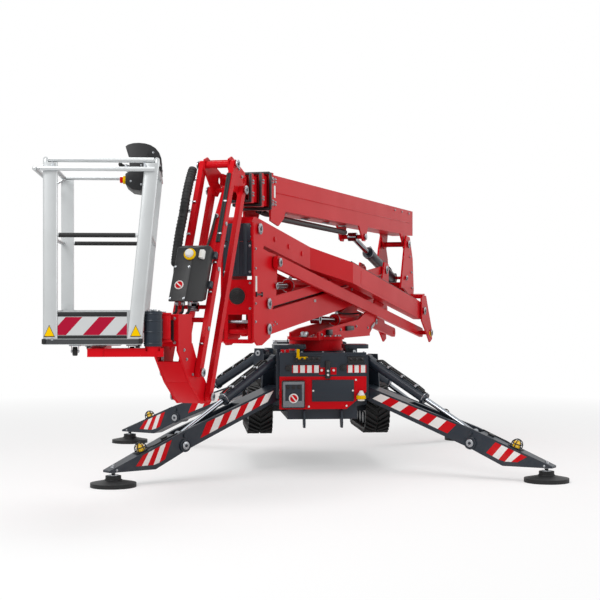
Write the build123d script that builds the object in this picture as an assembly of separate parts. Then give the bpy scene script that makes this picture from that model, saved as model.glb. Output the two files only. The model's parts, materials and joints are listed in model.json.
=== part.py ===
from build123d import *
import math
import os

# Tracked spider lift on four spread legs, its X-folded riser stowed and its jib and basket folded in front.
# Millimetres. While it is modelled, X runs to the machine's right as seen from the control end,
# Y runs to its engine end, Z is up, and the origin is on the floor under the slewing axis.
# The superstructure is modelled straight (boom along Y) and then swung round the slewing axis.

os.makedirs("parts", exist_ok=True)

# Driving dimensions

SLEW_DEG = 22.6            # how far the superstructure is swung from the chassis axis
CHASSIS_Y = 220.0          # middle of the chassis, behind the slewing axis

# Feet and legs
PAD_R = 170.0
PAD_T = 30.0
PAD_DISH = 22.0
PAD_HUB_R = 58.0
PAD_HUB_H = 30.0
FOOT_BALL_Z = 100.0        # height of the leg's ball over the floor
FOOT_BALL_R = 22.0
LEG_PIVOT_Z = 635.0
LEG_ROOT_H = 110.0         # depth of the leg's box at its root
LEG_TOP_AT_BOSS = 384.0
LEG_TIP_TOP = 124.0
LEG_W = 150.0
LEG_TIP_W = 90.0
LEG_TIP_OVER = 60.0        # the box runs past the ball
BOSS_BACK = 590.0          # from the ball back to the ram's boss
BOSS_Z = 290.0
BOSS_R = 50.0
LAMP_BACK = 246.0
LAMP_R = 30.0
LEG_RAM_TOP_Z = 895.0
LEG_RAM_EYE_Z = 345.0
LEG_RAM_R = 40.0
LEG_ROD_R = 20.0
LEG_BARREL_L = 600.0
LEG_ROD_IN = 150.0         # how much of the rod is still in the barrel
LEG_SLOT_W = 104.0          # the ram lies in a slot in the leg

# Tracks
TRACK_X = 482.0
TRACK_W = 200.0
TRACK_L = 1240.0
TRACK_Y = 280.0            # middle of the tracks
TRACK_H = 405.0
TRACK_BOTTOM = 270.0
BELT_T = 24.0
LUG_H = 20.0
LUG_COUNT = 40
WHEEL_R = 150.0
ROLLER_R = 52.0

# Chassis and its covers
FRAME_W = 560.0
FRAME_BOTTOM = 420.0
FRAME_TOP = 800.0
DECK_TOP = 955.0
PANEL_W = 694.0
PANEL_BOTTOM = 505.0
PANEL_Y = -620.0
PANEL_DEPTH = 60.0
BAND_H = 190.0
HOOD_L = 570.0
HOOD_W = 600.0
HOOD_Y0 = 400.0
HOOD_TOP = 1010.0
SHEET = 5.0

# Slewing ring and turret
RING_R = 225.0
RING_TOP = 1045.0
TURRET_BASE_T = 25.0
TOWER_IN = 112.0
TOWER_T = 16.0

# Riser, in the side view (Y rearward, Z up)
LOW_PIN_MID = (-1592.0, 1162.0)
LOW_TIE_UP = 186.0         # the lower tie's pins stand this far over the arm's
LOW_PIN_TURRET = (1900.0, 1482.0)
LOW_ARM_W = 150.0
LOW_ARM_UNDER = 62.0
LOW_ARM_OVER = 118.0
LOW_TIE_T = 20.0
LOW_TIE_H = 72.0
UP_PIN_MID = (-1790.0, 1885.0)
UP_PIN_REAR = (2950.0, 1262.0)
UP_TIE_STEP = (330.0, -232.0)  # from the upper arm's pins to the tie's
UP_ARM_H = 176.0
UP_ARM_W = 200.0           # single box at the front
UP_BEAM_IN = 150.0         # twin beams at the back
UP_BEAM_OUT = 235.0
UP_JOG_START = -480.0
UP_JOG_END = 320.0
UP_TIE_IN = 136.0
UP_TIE_OUT = 166.0
UP_TIE_H = 96.0
MID_IN = 110.0
MID_OUT = 125.0
REAR_TOP_IN = 124.0
REAR_TOP_OUT = 142.0
REAR_LOW_IN = 243.0
REAR_LOW_OUT = 259.0
PIN_R = 26.0
WALL = 10.0

# Rams of the riser and the boom
RAM_R = 48.0
ROD_R = 26.0
RAM_PIN_R = 15.0
JIB_ROD_R = 20.0
LOW_RAM_TURRET = (1500.0, 1175.0)
LOW_RAM_ARM = (0.0, 1215.0)
UP_RAM_MID = (-1420.0, 1479.0)
UP_RAM_ARM = (250.0, 1500.0)
LIFT_RAM_LINK = (2640.0, 1600.0)
LIFT_RAM_BOOM = (1150.0, 1955.0)

# Boom
BOOM_PIVOT = (2740.0, 1945.0)
BOOM_FRONT = -1515.0
BOOM_REAR = 3080.0
BOOM_TOP = 2302.0
BOOM_H = 254.0
BOOM_BOTTOM = BOOM_TOP - BOOM_H
BOOM_W = 220.0
SECTION_STEP = 17.0        # from one section's skin to the next
SECTION_WALL = 8.0
MIDDLE_OUT = 170.0         # how far the middle section shows
INNER_OUT = 340.0
COLLAR_L = 60.0

# Jib, in the side view
HEAD_PIVOT = (-2020.0, 2215.0)
JIB_FRONT_TOP = (-2270.0, 2305.0)
JIB_REAR_TOP = (-2100.0, 2140.0)
JIB_REACH = (-635.0, -1395.0)
JIB_X = 112.0
JIB_BEAM_W = 34.0
JIB_BEAM_H = 62.0
JIB_RAM_R = 34.0
JIB_RAM_SHARE = 0.7

# Rotator and basket
ROTATOR_Y = -3374.0
ROTATOR_R = 55.0
ROTATOR_LOW = 1092.0
ROTATOR_HIGH = 1306.0
BASKET_X0 = -1955.0
BASKET_X1 = -1255.0
BASKET_TAPER = 110.0
BASKET_Y0 = -3190.0
BASKET_Y1 = -1890.0
FLOOR_Z = 1105.0
FLOOR_T = 35.0
RAIL_TOP = 2240.0
RAIL_R = 16.0
POST_W = 86.0
POST_T = 34.0
KICK_H = 165.0
KICK_T = 5.0
ARM_H = 52.0
BUMPER_OUT = 46.0
BUMPER_R = 14.0
BUMPER_Z = 2166.0
MID_RAIL_Z = 1768.0
MID_RAIL_R = 13.0


# Helpers


def side_plate(points, x0, x1, r=0.0):
    """A flat plate in the side view, from x0 to x1, its corners rounded by r."""
    face = Polygon(*points, align=None)
    if r:
        face = fillet(face.vertices(), r)
    return extrude(Plane.YZ.offset(x0) * face, x1 - x0, dir=(1, 0, 0))


def side_disc(y, z, r, x0, x1):
    """A round pin or boss across the machine."""
    return extrude(Plane.YZ.offset(x0) * Pos(y, z) * Circle(r), x1 - x0, dir=(1, 0, 0))


def both_sides(shape):
    """The shape and its mirror image across the boom's plane."""
    return shape + mirror(shape, about=Plane.YZ)


def bar(p0, p1, under, over, x0, x1, past0=0.0, past1=0.0):
    """A straight bar in the side view along p0 to p1, with its depth under and over the line of its pins."""
    dy, dz = p1[0] - p0[0], p1[1] - p0[1]
    length = math.hypot(dy, dz)
    uy, uz = dy / length, dz / length
    ny, nz = (-uz, uy) if uy > 0 else (uz, -uy)
    a = (p0[0] - uy * past0, p0[1] - uz * past0)
    b = (p1[0] + uy * past1, p1[1] + uz * past1)
    points = [
        (a[0] - ny * under, a[1] - nz * under),
        (b[0] - ny * under, b[1] - nz * under),
        (b[0] + ny * over, b[1] + nz * over),
        (a[0] + ny * over, a[1] + nz * over),
    ]
    return side_plate(points, x0, x1)


def link_bar(p0, p1, depth, x0, x1):
    """A bar with round ends about its two pins."""
    body = bar(p0, p1, depth / 2, depth / 2, x0, x1)
    for y, z in (p0, p1):
        body += side_disc(y, z, depth / 2, x0, x1)
    return body


def along(p0, p1, x=0.0):
    """A plane at p0 in the side view whose z axis runs to p1."""
    return Plane(origin=(x, p0[0], p0[1]), x_dir=(1, 0, 0), z_dir=(0, p1[0] - p0[0], p1[1] - p0[1]))


def ram(base, eye, radius, rod_radius, barrel_length, eye_width, x=0.0):
    """A hydraulic ram from its base pin to its eye: the barrel and the rod."""
    plane = along(base, eye, x)
    length = math.hypot(eye[0] - base[0], eye[1] - base[1])
    bore = rod_radius + 1.0
    barrel = plane * extrude(Pos(0, 0, radius * 0.9) * Circle(radius), barrel_length - radius * 0.9)
    barrel += plane * extrude(Pos(0, 0, barrel_length - 40) * Circle(radius + 7), 40)
    barrel += side_disc(base[0], base[1], radius, x - eye_width / 2, x + eye_width / 2)
    barrel -= plane * extrude(Pos(0, 0, radius * 1.4) * Circle(bore), barrel_length)
    barrel -= side_disc(base[0], base[1], PIN_R * 0.6, x - eye_width, x + eye_width)
    rod = plane * extrude(Pos(0, 0, radius * 1.6) * Circle(rod_radius), length - radius * 1.6 - rod_radius)
    rod += side_disc(eye[0], eye[1], rod_radius * 1.5, x - eye_width / 2, x + eye_width / 2)
    rod -= side_disc(eye[0], eye[1], rod_radius * 0.7, x - eye_width, x + eye_width)
    return barrel, rod


parts = {}


# Tracks and their frames


def track_line(inset):
    """The outline of a track's loop in the side view, moved in by inset."""
    r = TRACK_H / 2 - inset
    half = TRACK_L / 2 - TRACK_H / 2
    z = TRACK_BOTTOM + TRACK_H / 2
    face = Pos(TRACK_Y, z) * SlotCenterToCenter(2 * half, 2 * r)
    return face


def track(x):
    """One rubber loop with its lugs."""
    x0 = x - TRACK_W / 2
    belt = extrude(Plane.YZ.offset(x0) * track_line(LUG_H), TRACK_W)
    belt -= extrude(Plane.YZ.offset(x0) * track_line(LUG_H + BELT_T), TRACK_W)
    half = TRACK_L / 2 - TRACK_H / 2
    r = TRACK_H / 2 - LUG_H
    middle_z = TRACK_BOTTOM + TRACK_H / 2
    loop = 4 * half + 2 * math.pi * r
    pitch = loop / LUG_COUNT
    lugs = []
    for i in range(LUG_COUNT):
        s = (i + 0.5) * pitch
        if s < 2 * half:
            y, z, turn = -half + s, r, 0.0
        elif s < 2 * half + math.pi * r:
            a = (s - 2 * half) / r
            y, z, turn = half + r * math.sin(a), r * math.cos(a), -math.degrees(a)
        elif s < 4 * half + math.pi * r:
            y, z, turn = half - (s - 2 * half - math.pi * r), -r, 180.0
        else:
            a = (s - 4 * half - math.pi * r) / r
            y, z, turn = -half - r * math.sin(a), -r * math.cos(a), 180.0 - math.degrees(a)
        lug = Box(TRACK_W, pitch * 0.5, LUG_H + 4, align=(Align.CENTER, Align.CENTER, Align.MIN))
        lugs.append(Pos(x, TRACK_Y + y, middle_z + z) * Rot(turn, 0, 0) * Pos(0, 0, -4) * lug)
    return belt + lugs


def track_frame(side):
    """Sprocket, idler, rollers and the beam that carries them, inside the loop and in to the chassis."""
    x = side * TRACK_X
    half = TRACK_L / 2 - TRACK_H / 2
    z = TRACK_BOTTOM + TRACK_H / 2
    body = Pos(x, TRACK_Y, z + 10) * Box(TRACK_W * 0.5, 2 * half, 120)
    for y in (-half, half):
        body += side_disc(TRACK_Y + y, z, WHEEL_R, x - TRACK_W * 0.32, x + TRACK_W * 0.32)
    roller_z = TRACK_BOTTOM + LUG_H + BELT_T + ROLLER_R + 1
    for i in range(4):
        y = (i - 1.5) * 2 * half / 4.4
        body += side_disc(TRACK_Y + y, roller_z, ROLLER_R, x - TRACK_W * 0.3, x + TRACK_W * 0.3)
        body += Pos(x, TRACK_Y + y, z - 60) * Box(TRACK_W * 0.3, 60, 100)
    inner = FRAME_W / 2
    for y in (-half * 0.7, half * 0.7):
        body += Pos(side * (TRACK_X + inner) / 2, TRACK_Y + y, z + 20) * Box(TRACK_X - inner, 110, 90)
    return body


parts["track_left"] = track(-TRACK_X)
parts["track_right"] = track(TRACK_X)
parts["track_frame_left"] = track_frame(-1)
parts["track_frame_right"] = track_frame(1)

# Legs: root x, root y, and how far each is turned from straight ahead (degrees, counterclockwise)

LEGS = {
    "front_left": (-380.0, -465.0, 215.0),
    "front_right": (380.0, -465.0, -35.0),
    "rear_left": (-380.0, 1012.0, 145.0),
    "rear_right": (380.0, 1012.0, 35.0),
}
LEG_REACH = 1520.0
LUG_GAP = 6.0


def leg_place(row):
    """Where a leg's root is and how far it is turned, with its reach."""
    rx, ry, turn = row
    return Pos(rx, ry, 0) * Rot(0, 0, turn), LEG_REACH


def leg_plate(points, width, y=0.0):
    """A plate in the leg's own plane: x outward, z up."""
    face = Polygon(*points, align=None)
    return extrude(Plane.XZ.offset(-width / 2 - y) * face, width, dir=(0, -1, 0))


def leg_disc(x, z, r, width, y=0.0):
    return extrude(Plane.XZ.offset(-width / 2 - y) * Pos(x, z) * Circle(r), width, dir=(0, -1, 0))


def leg_ram(reach):
    """The leg's ram, from the chassis down to the boss on the leg, nearly full out."""
    eye_x = reach - BOSS_BACK
    dx, dz = eye_x, LEG_RAM_EYE_Z - LEG_RAM_TOP_Z
    length = math.hypot(dx, dz)
    plane = Plane(origin=(0, 0, LEG_RAM_TOP_Z), x_dir=(0, 1, 0), z_dir=(dx, 0, dz))
    barrel_length = LEG_BARREL_L
    barrel = plane * extrude(Pos(0, 0, 30) * Circle(LEG_RAM_R), barrel_length - 30)
    barrel += plane * extrude(Pos(0, 0, barrel_length - 34) * Circle(LEG_RAM_R + 6), 34)
    barrel += leg_disc(0, LEG_RAM_TOP_Z, LEG_RAM_R, 60)
    barrel -= plane * extrude(Pos(0, 0, 60) * Circle(LEG_ROD_R + 1), barrel_length)
    barrel -= leg_disc(0, LEG_RAM_TOP_Z, 16, 80)
    start = barrel_length - LEG_ROD_IN
    rod = plane * extrude(Pos(0, 0, start) * Circle(LEG_ROD_R), length - start - LEG_ROD_R)
    rod += leg_disc(eye_x, LEG_RAM_EYE_Z, LEG_ROD_R * 1.5, 50)
    rod -= leg_disc(eye_x, LEG_RAM_EYE_Z, LEG_ROD_R * 0.7, 60)
    return barrel, rod


def leg_beam(reach):
    """The tapered box of one leg, its boss and its lugs."""
    boss_x = reach - BOSS_BACK
    points = [
        (0, LEG_PIVOT_Z - LEG_ROOT_H / 2),
        (0, LEG_PIVOT_Z + LEG_ROOT_H / 2),
        (boss_x, LEG_TOP_AT_BOSS),
        (reach + LEG_TIP_OVER, LEG_TIP_TOP),
        (reach + LEG_TIP_OVER, LEG_TIP_TOP - 16),
        (reach - 330, FOOT_BALL_Z + 8),
        (boss_x, BOSS_Z - 62),
    ]
    taper = [(-100, -LEG_W / 2), (boss_x + 90, -LEG_W / 2), (reach + LEG_TIP_OVER + 1, -LEG_TIP_W / 2),
             (reach + LEG_TIP_OVER + 1, LEG_TIP_W / 2), (boss_x + 90, LEG_W / 2), (-100, LEG_W / 2)]
    body = leg_plate(points, LEG_W) & extrude(Polygon(*taper, align=None), 1000, dir=(0, 0, 1))
    body += leg_disc(0, LEG_PIVOT_Z, LEG_ROOT_H / 2, LEG_W)
    slot = [(boss_x - 540, 900), (boss_x - 540, LEG_RAM_EYE_Z + 130), (boss_x - 70, LEG_RAM_EYE_Z - 72),
            (boss_x + 72, LEG_RAM_EYE_Z - 72), (boss_x + 72, 900)]
    body -= leg_plate(slot, LEG_SLOT_W)
    body += leg_disc(boss_x, BOSS_Z - 20, BOSS_R, LEG_W + 16) - leg_plate(slot, LEG_SLOT_W)
    for side in (-1, 1):
        body += leg_disc(boss_x, LEG_RAM_EYE_Z, 16, 12, side * (LEG_W / 2 + 6))
    return body


def foot(reach):
    """The round pad and the ball that it hangs from."""
    profile = [
        (0, 0), (PAD_R, 0), (PAD_R, PAD_T), (PAD_HUB_R, PAD_T + PAD_DISH),
        (PAD_HUB_R, PAD_T + PAD_DISH + PAD_HUB_H), (0, PAD_T + PAD_DISH + PAD_HUB_H),
    ]
    pad = revolve(Plane.XZ * Polygon(*profile, align=None), Axis.Z)
    stud = Pos(0, 0, PAD_T + PAD_DISH + PAD_HUB_H - 4) * Cylinder(14, 22, align=(Align.CENTER, Align.CENTER, Align.MIN))
    return Pos(reach, 0, 0) * (pad + stud)


def leg_lamp(reach):
    """The warning lamp on top of the leg."""
    x = reach - LAMP_BACK
    share = (x - (reach - BOSS_BACK)) / (BOSS_BACK + LEG_TIP_OVER)
    top = LEG_TOP_AT_BOSS + share * (LEG_TIP_TOP - LEG_TOP_AT_BOSS)
    slope = math.degrees(math.atan2(LEG_TOP_AT_BOSS - LEG_TIP_TOP, BOSS_BACK + LEG_TIP_OVER))
    lamp = Cylinder(LAMP_R, 30, align=(Align.CENTER, Align.CENTER, Align.MIN)) + Pos(0, 0, 30) * Sphere(LAMP_R)
    lamp -= Pos(0, 0, -60) * Box(200, 200, 120)
    return Pos(x, 0, top + 0.3) * Rot(0, slope, 0) * lamp


for name, row in LEGS.items():
    place, reach = leg_place(row)
    barrel, rod = leg_ram(reach)
    parts["leg_" + name] = place * leg_beam(reach)
    parts["foot_" + name] = place * foot(reach)
    parts["leg_barrel_" + name] = place * barrel
    parts["leg_rod_" + name] = place * rod
    parts["lamp_" + name] = place * leg_lamp(reach)

# Chassis


def leg_mount(row):
    """The pair of cheeks that hold a leg's pivot and the top of its ram."""
    place, reach = leg_place(row)
    gap = LEG_W / 2 + LUG_GAP
    body = None
    for side in (-1, 1):
        points = [(-190, 520), (-40, LEG_PIVOT_Z - 75), (60, LEG_PIVOT_Z - 40), (60, LEG_PIVOT_Z + 40),
                  (42, LEG_RAM_TOP_Z + 42), (-42, LEG_RAM_TOP_Z + 42), (-90, 800), (-190, 798)]
        cheek = leg_plate(points, 14, side * (gap + 7))
        body = cheek if body is None else body + cheek
    body += leg_plate([(-190, 520), (-60, 520), (-60, 800), (-190, 800)], 2 * gap + 28)
    return place * body


def lashing_eyes():
    """Four plates with a round eye for lashing the machine down, two at each end under the frame."""
    eyes = None
    for end, y in ((-1, FRAME_Y0 + 20), (1, FRAME_Y1 - 20)):
        for x in (-EYE_X, EYE_X):
            plate = [(y, 500), (y, 400), (y + end * 20, 356), (y + end * 90, 356), (y + end * 110, 400), (y + end * 60, 500)]
            eye = side_plate(plate, x - EYE_T / 2, x + EYE_T / 2)
            eye -= side_disc(y + end * EYE_OUT, EYE_Z, EYE_R, x - EYE_T, x + EYE_T)
            eyes = eye if eyes is None else eyes + eye
    return eyes


EYE_X = 150.0
EYE_T = 16.0
EYE_R = 24.0
EYE_Z = 400.0
EYE_OUT = 62.0
FRAME_Y0 = PANEL_Y + PANEL_DEPTH + 0.3
FRAME_Y1 = 2 * CHASSIS_Y - FRAME_Y0
frame = Pos(0, CHASSIS_Y, (FRAME_BOTTOM + FRAME_TOP) / 2) * Box(FRAME_W, FRAME_Y1 - FRAME_Y0, FRAME_TOP - FRAME_BOTTOM)
frame -= Pos(0, CHASSIS_Y, FRAME_BOTTOM) * Box(FRAME_W - 160, FRAME_Y1 - FRAME_Y0 - 200, 300)
for row in LEGS.values():
    frame += leg_mount(row)
frame += Pos(0, 0, FRAME_TOP) * Cylinder(RING_R + 40, DECK_TOP - FRAME_TOP, align=(Align.CENTER, Align.CENTER, Align.MIN))
HOOD_Y = HOOD_Y0 + HOOD_L / 2
frame -= Pos(0, PANEL_Y, 750) * Box(2 * TRACK_X, 2 * PANEL_DEPTH + 0.6, 900)
frame -= Pos(0, HOOD_Y, FRAME_TOP + 150) * Box(HOOD_W + 0.6, HOOD_L + 0.6, 300)
for side, x0, x1 in ((-1, 120, 385), (1, 190, 390)):
    plate = extrude(Pos(side * (x0 + x1) / 2, -330) * RectangleRounded(x1 - x0, 300, 60), 32, dir=(0, 0, 1))
    frame += Pos(0, 0, DECK_TOP + 0.3 + 26) * plate
    post_x = side * (x0 + 45)
    frame += Pos(post_x, -330, FRAME_TOP - 1) * Box(60, 180, DECK_TOP + 28 - FRAME_TOP, align=(
        Align.CENTER, Align.CENTER, Align.MIN))
frame += lashing_eyes()
parts["chassis_frame"] = frame

panel_face = [
    (-PANEL_W / 2, PANEL_BOTTOM), (PANEL_W / 2 - 160, PANEL_BOTTOM), (PANEL_W / 2, PANEL_BOTTOM + 135),
    (PANEL_W / 2, DECK_TOP - BAND_H), (-PANEL_W / 2, DECK_TOP - BAND_H),
]
panel = extrude(Plane.XZ.offset(-PANEL_Y) * Polygon(*panel_face, align=None), PANEL_DEPTH, dir=(0, 1, 0))
parts["front_panel"] = panel
band = Pos(0, PANEL_Y + PANEL_DEPTH / 2, DECK_TOP - BAND_H / 2 + 0.3) * Box(PANEL_W, PANEL_DEPTH, BAND_H)
parts["controls"] = band
hood = Pos(0, HOOD_Y, (FRAME_TOP + HOOD_TOP) / 2 + 0.3) * Box(HOOD_W, HOOD_L, HOOD_TOP - FRAME_TOP)
hood -= Pos(0, HOOD_Y, (FRAME_TOP + HOOD_TOP) / 2 - SHEET) * Box(HOOD_W - 2 * SHEET, HOOD_L - 2 * SHEET, HOOD_TOP - FRAME_TOP)
parts["engine_hood"] = hood
parts["engine_block"] = Pos(0, HOOD_Y, FRAME_TOP + 80.3) * Box(420, 380, 160)
ring = Pos(0, 0, DECK_TOP + 0.3) * Cylinder(RING_R, RING_TOP - DECK_TOP - 0.3, align=(Align.CENTER, Align.CENTER, Align.MIN))
parts["slew_ring"] = ring

# Turret

BASE_TOP = RING_TOP + 0.3 + TURRET_BASE_T
tower_side = [
    (-330, BASE_TOP - 1), (1280, BASE_TOP - 1), (1990, 1420), (1990, 1720), (1830, 1740), (1760, 1600),
    (1420, 1330), (900, 1200), (-100, 1140), (-330, 1110),
]
turret = Pos(0, 0, RING_TOP + 0.3) * Cylinder(RING_R + 15, TURRET_BASE_T, align=(Align.CENTER, Align.CENTER, Align.MIN))
turret += Pos(0, 475, RING_TOP + 0.3 + TURRET_BASE_T / 2) * Box(2 * (TOWER_IN + TOWER_T), 1610, TURRET_BASE_T)
turret += both_sides(side_plate(tower_side, TOWER_IN, TOWER_IN + TOWER_T))
turret += side_disc(LOW_PIN_TURRET[0], LOW_PIN_TURRET[1], PIN_R, -TOWER_IN - 1, TOWER_IN + 1)
turret += both_sides(side_disc(LOW_PIN_TURRET[0], LOW_PIN_TURRET[1] + LOW_TIE_UP, PIN_R, LOW_ARM_W / 2 + 7, TOWER_IN + 1))
turret += side_disc(LOW_RAM_TURRET[0], LOW_RAM_TURRET[1], RAM_PIN_R, -TOWER_IN - 1, TOWER_IN + 1)
parts["turret"] = turret

# Lower arm, its ties and its ram

arm_x = LOW_ARM_W / 2
lower = bar(LOW_PIN_TURRET, LOW_PIN_MID, LOW_ARM_UNDER, LOW_ARM_OVER, -arm_x, arm_x, 60, -90)
lower -= bar(LOW_PIN_TURRET, LOW_PIN_MID, LOW_ARM_UNDER + 30, LOW_ARM_OVER - WALL, -arm_x + WALL, arm_x - WALL, 200, -1100)
lower += both_sides(link_bar(LOW_PIN_MID, (LOW_PIN_MID[0] + 300, LOW_PIN_MID[1] + 28), 110, arm_x - 30, arm_x))
lower -= side_disc(LOW_PIN_TURRET[0], LOW_PIN_TURRET[1], PIN_R + 0.3, -arm_x, arm_x)
lower -= side_disc(LOW_PIN_MID[0], LOW_PIN_MID[1], PIN_R + 0.3, -arm_x, arm_x)
parts["lower_arm"] = lower

low_tie_mid = (LOW_PIN_MID[0], LOW_PIN_MID[1] + LOW_TIE_UP)
low_tie_turret = (LOW_PIN_TURRET[0], LOW_PIN_TURRET[1] + LOW_TIE_UP)
tie_x = arm_x + 8
tie = link_bar(low_tie_mid, low_tie_turret, LOW_TIE_H, tie_x, tie_x + LOW_TIE_T)
tie -= side_disc(low_tie_mid[0], low_tie_mid[1], PIN_R + 0.3, tie_x, tie_x + LOW_TIE_T)
tie -= side_disc(low_tie_turret[0], low_tie_turret[1], PIN_R + 0.3, tie_x, tie_x + LOW_TIE_T)
parts["lower_tie"] = both_sides(tie)

barrel, rod = ram(LOW_RAM_TURRET, LOW_RAM_ARM, RAM_R, ROD_R, 950, 80)
parts["lower_ram_barrel"] = barrel
parts["lower_ram_rod"] = rod

# Mid link

mid_side = [
    (-1891, 1095), (-1891, 1925), (-1710, 1925), (-1650, 1840), (-1690, 1745), (-1560, 1725), (-1400, 1712),
    (-1370, 1620), (-1400, 1420), (-1490, 1300), (-1500, 1200), (-1535, 1100), (-1720, 1048), (-1800, 1048),
]
mid = both_sides(side_plate(mid_side, MID_IN, MID_OUT))
mid += side_plate([(-1891, 1290), (-1881, 1290), (-1881, 1520), (-1891, 1520)], -MID_OUT, MID_OUT)
mid += side_plate([(-1891, 1800), (-1881, 1800), (-1881, 1925), (-1891, 1925)], -MID_OUT, MID_OUT)
for y, z in (UP_PIN_MID, LOW_PIN_MID):
    mid += side_disc(y, z, PIN_R, -MID_OUT - 8, MID_OUT + 8)
mid += both_sides(side_disc(low_tie_mid[0], low_tie_mid[1], PIN_R, LOW_ARM_W / 2 + 7, MID_OUT + 8))
tie_pin = (UP_PIN_MID[0] + UP_TIE_STEP[0], UP_PIN_MID[1] + UP_TIE_STEP[1])
mid += both_sides(side_disc(tie_pin[0], tie_pin[1], PIN_R - 4, MID_OUT - 2, UP_TIE_OUT + 8))
mid += side_disc(UP_RAM_MID[0], UP_RAM_MID[1], 15, 50, MID_OUT + 8)
mid += side_disc(UP_RAM_MID[0], UP_RAM_MID[1], 15, -MID_OUT - 8, -50)
parts["mid_link"] = mid
parts["mid_cover"] = side_plate([(-1893, 1545), (-1893, 1790), (-1880, 1790), (-1880, 1545)], -MID_IN + 2, MID_IN - 2)

# Upper arm, its ties and its ram


def up_line(y):
    """Height of the upper arm's line of pins."""
    share = (y - UP_PIN_MID[0]) / (UP_PIN_REAR[0] - UP_PIN_MID[0])
    return UP_PIN_MID[1] + share * (UP_PIN_REAR[1] - UP_PIN_MID[1])


def up_point(y):
    return (y, up_line(y))


half = UP_ARM_H / 2
fork = [
    (0, -1900), (UP_ARM_W / 2, -1900), (UP_ARM_W / 2, UP_JOG_START), (UP_BEAM_OUT, UP_JOG_END),
    (UP_BEAM_OUT, 3200), (UP_BEAM_IN, 3200), (UP_BEAM_IN, UP_JOG_END), (0, UP_JOG_START + 60),
]
fork += [(-x, y) for x, y in reversed(fork) if x]
plan = extrude(Plane.XY.offset(900) * Polygon(*fork, align=None), 1400, dir=(0, 0, 1))
side = bar(UP_PIN_MID, UP_PIN_REAR, half, half, -UP_BEAM_OUT - 1, UP_BEAM_OUT + 1)
side += side_disc(UP_PIN_MID[0], UP_PIN_MID[1], half, -UP_BEAM_OUT - 1, UP_BEAM_OUT + 1)
side += side_disc(UP_PIN_REAR[0], UP_PIN_REAR[1], half, -UP_BEAM_OUT - 1, UP_BEAM_OUT + 1)
upper = plan & side
inner_half = half - WALL
upper -= bar(up_point(UP_PIN_MID[0] + 120), up_point(UP_JOG_START - 20), inner_half, inner_half,
             -UP_ARM_W / 2 + WALL, UP_ARM_W / 2 - WALL)
for side_x in (UP_BEAM_IN + WALL, -UP_BEAM_OUT + WALL):
    upper -= bar(up_point(UP_JOG_END + 20), up_point(UP_PIN_REAR[0] - 120), inner_half, inner_half,
                 side_x, side_x + UP_BEAM_OUT - UP_BEAM_IN - 2 * WALL)
upper -= side_disc(UP_PIN_MID[0], UP_PIN_MID[1], PIN_R + 0.3, -UP_BEAM_OUT, UP_BEAM_OUT)
upper -= side_disc(UP_PIN_REAR[0], UP_PIN_REAR[1], PIN_R + 0.3, -UP_BEAM_OUT - 2, UP_BEAM_OUT + 2)
for y0, y1 in ((120, 330),):
    cheek = [(y0, up_line(y0) + 5), (UP_RAM_ARM[0] - 48, UP_RAM_ARM[1] - 34), (UP_RAM_ARM[0] + 48, UP_RAM_ARM[1] - 34),
             (y1, up_line(y1) + 5)]
    upper += both_sides(side_plate(cheek, 52, 66))
    upper += side_plate([(y0, up_line(y0) - 15), (y1, up_line(y1) - 15), (y1, up_line(y1) + 15), (y0, up_line(y0) + 15)],
                        -UP_BEAM_IN, UP_BEAM_IN)
parts["upper_arm"] = upper

tie_rear = (UP_PIN_REAR[0] + UP_TIE_STEP[0], UP_PIN_REAR[1] + UP_TIE_STEP[1])
up_tie = link_bar(tie_pin, tie_rear, UP_TIE_H, UP_TIE_IN, UP_TIE_OUT)
up_tie -= side_disc(tie_pin[0], tie_pin[1], PIN_R - 3.7, UP_TIE_IN, UP_TIE_OUT)
up_tie -= side_disc(tie_rear[0], tie_rear[1], PIN_R - 3.7, UP_TIE_IN, UP_TIE_OUT)
parts["upper_tie"] = both_sides(up_tie)

barrel, rod = ram(UP_RAM_ARM, UP_RAM_MID, RAM_R, ROD_R, 1000, 80)
parts["upper_ram_barrel"] = barrel
parts["upper_ram_rod"] = rod

# Rear link

rear_top = [
    (2440, 1500), (2560, 1500), (2960, 1380), (3000, 1480), (2950, 1800), (2820, 2020), (2680, 2030), (2600, 1900),
]
rear_low = [(2860, 1400), (3060, 1420), (3340, 1060), (3350, 960), (3250, 930), (3130, 1010), (2880, 1160)]
rear = both_sides(side_plate(rear_top, REAR_TOP_IN, REAR_TOP_OUT))
rear += both_sides(side_plate(rear_low, REAR_LOW_IN, REAR_LOW_OUT))
rear += both_sides(side_plate([(2900, 1390), (2990, 1400), (2990, 1440), (2900, 1430)], REAR_TOP_IN, REAR_LOW_OUT))
rear += side_plate([(2925, 1440), (2945, 1440), (2925, 1560), (2905, 1560)], -REAR_TOP_OUT, REAR_TOP_OUT)
rear += both_sides(side_disc(UP_PIN_REAR[0], UP_PIN_REAR[1], PIN_R, UP_BEAM_IN - 6, REAR_LOW_OUT + 8))
rear += both_sides(side_disc(tie_rear[0], tie_rear[1], PIN_R - 4, UP_TIE_IN - 6, REAR_LOW_OUT + 8))
rear += side_disc(BOOM_PIVOT[0], BOOM_PIVOT[1], PIN_R, -REAR_TOP_OUT - 8, REAR_TOP_OUT + 8)
rear += side_disc(LIFT_RAM_LINK[0], LIFT_RAM_LINK[1], 15, -REAR_TOP_OUT - 8, REAR_TOP_OUT + 8)
parts["rear_link"] = rear

# Boom: three sections, one inside the other


def section(index, y0, y1):
    """One box section of the boom, open at both ends."""
    width = BOOM_W - 2 * SECTION_STEP * index
    height = BOOM_TOP - BOOM_BOTTOM - 2 * SECTION_STEP * index
    middle = (BOOM_TOP + BOOM_BOTTOM) / 2
    body = Pos(0, (y0 + y1) / 2, middle) * Box(width, y1 - y0, height)
    body -= Pos(0, (y0 + y1) / 2, middle) * Box(width - 2 * SECTION_WALL, y1 - y0 + 2, height - 2 * SECTION_WALL)
    return body


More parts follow.
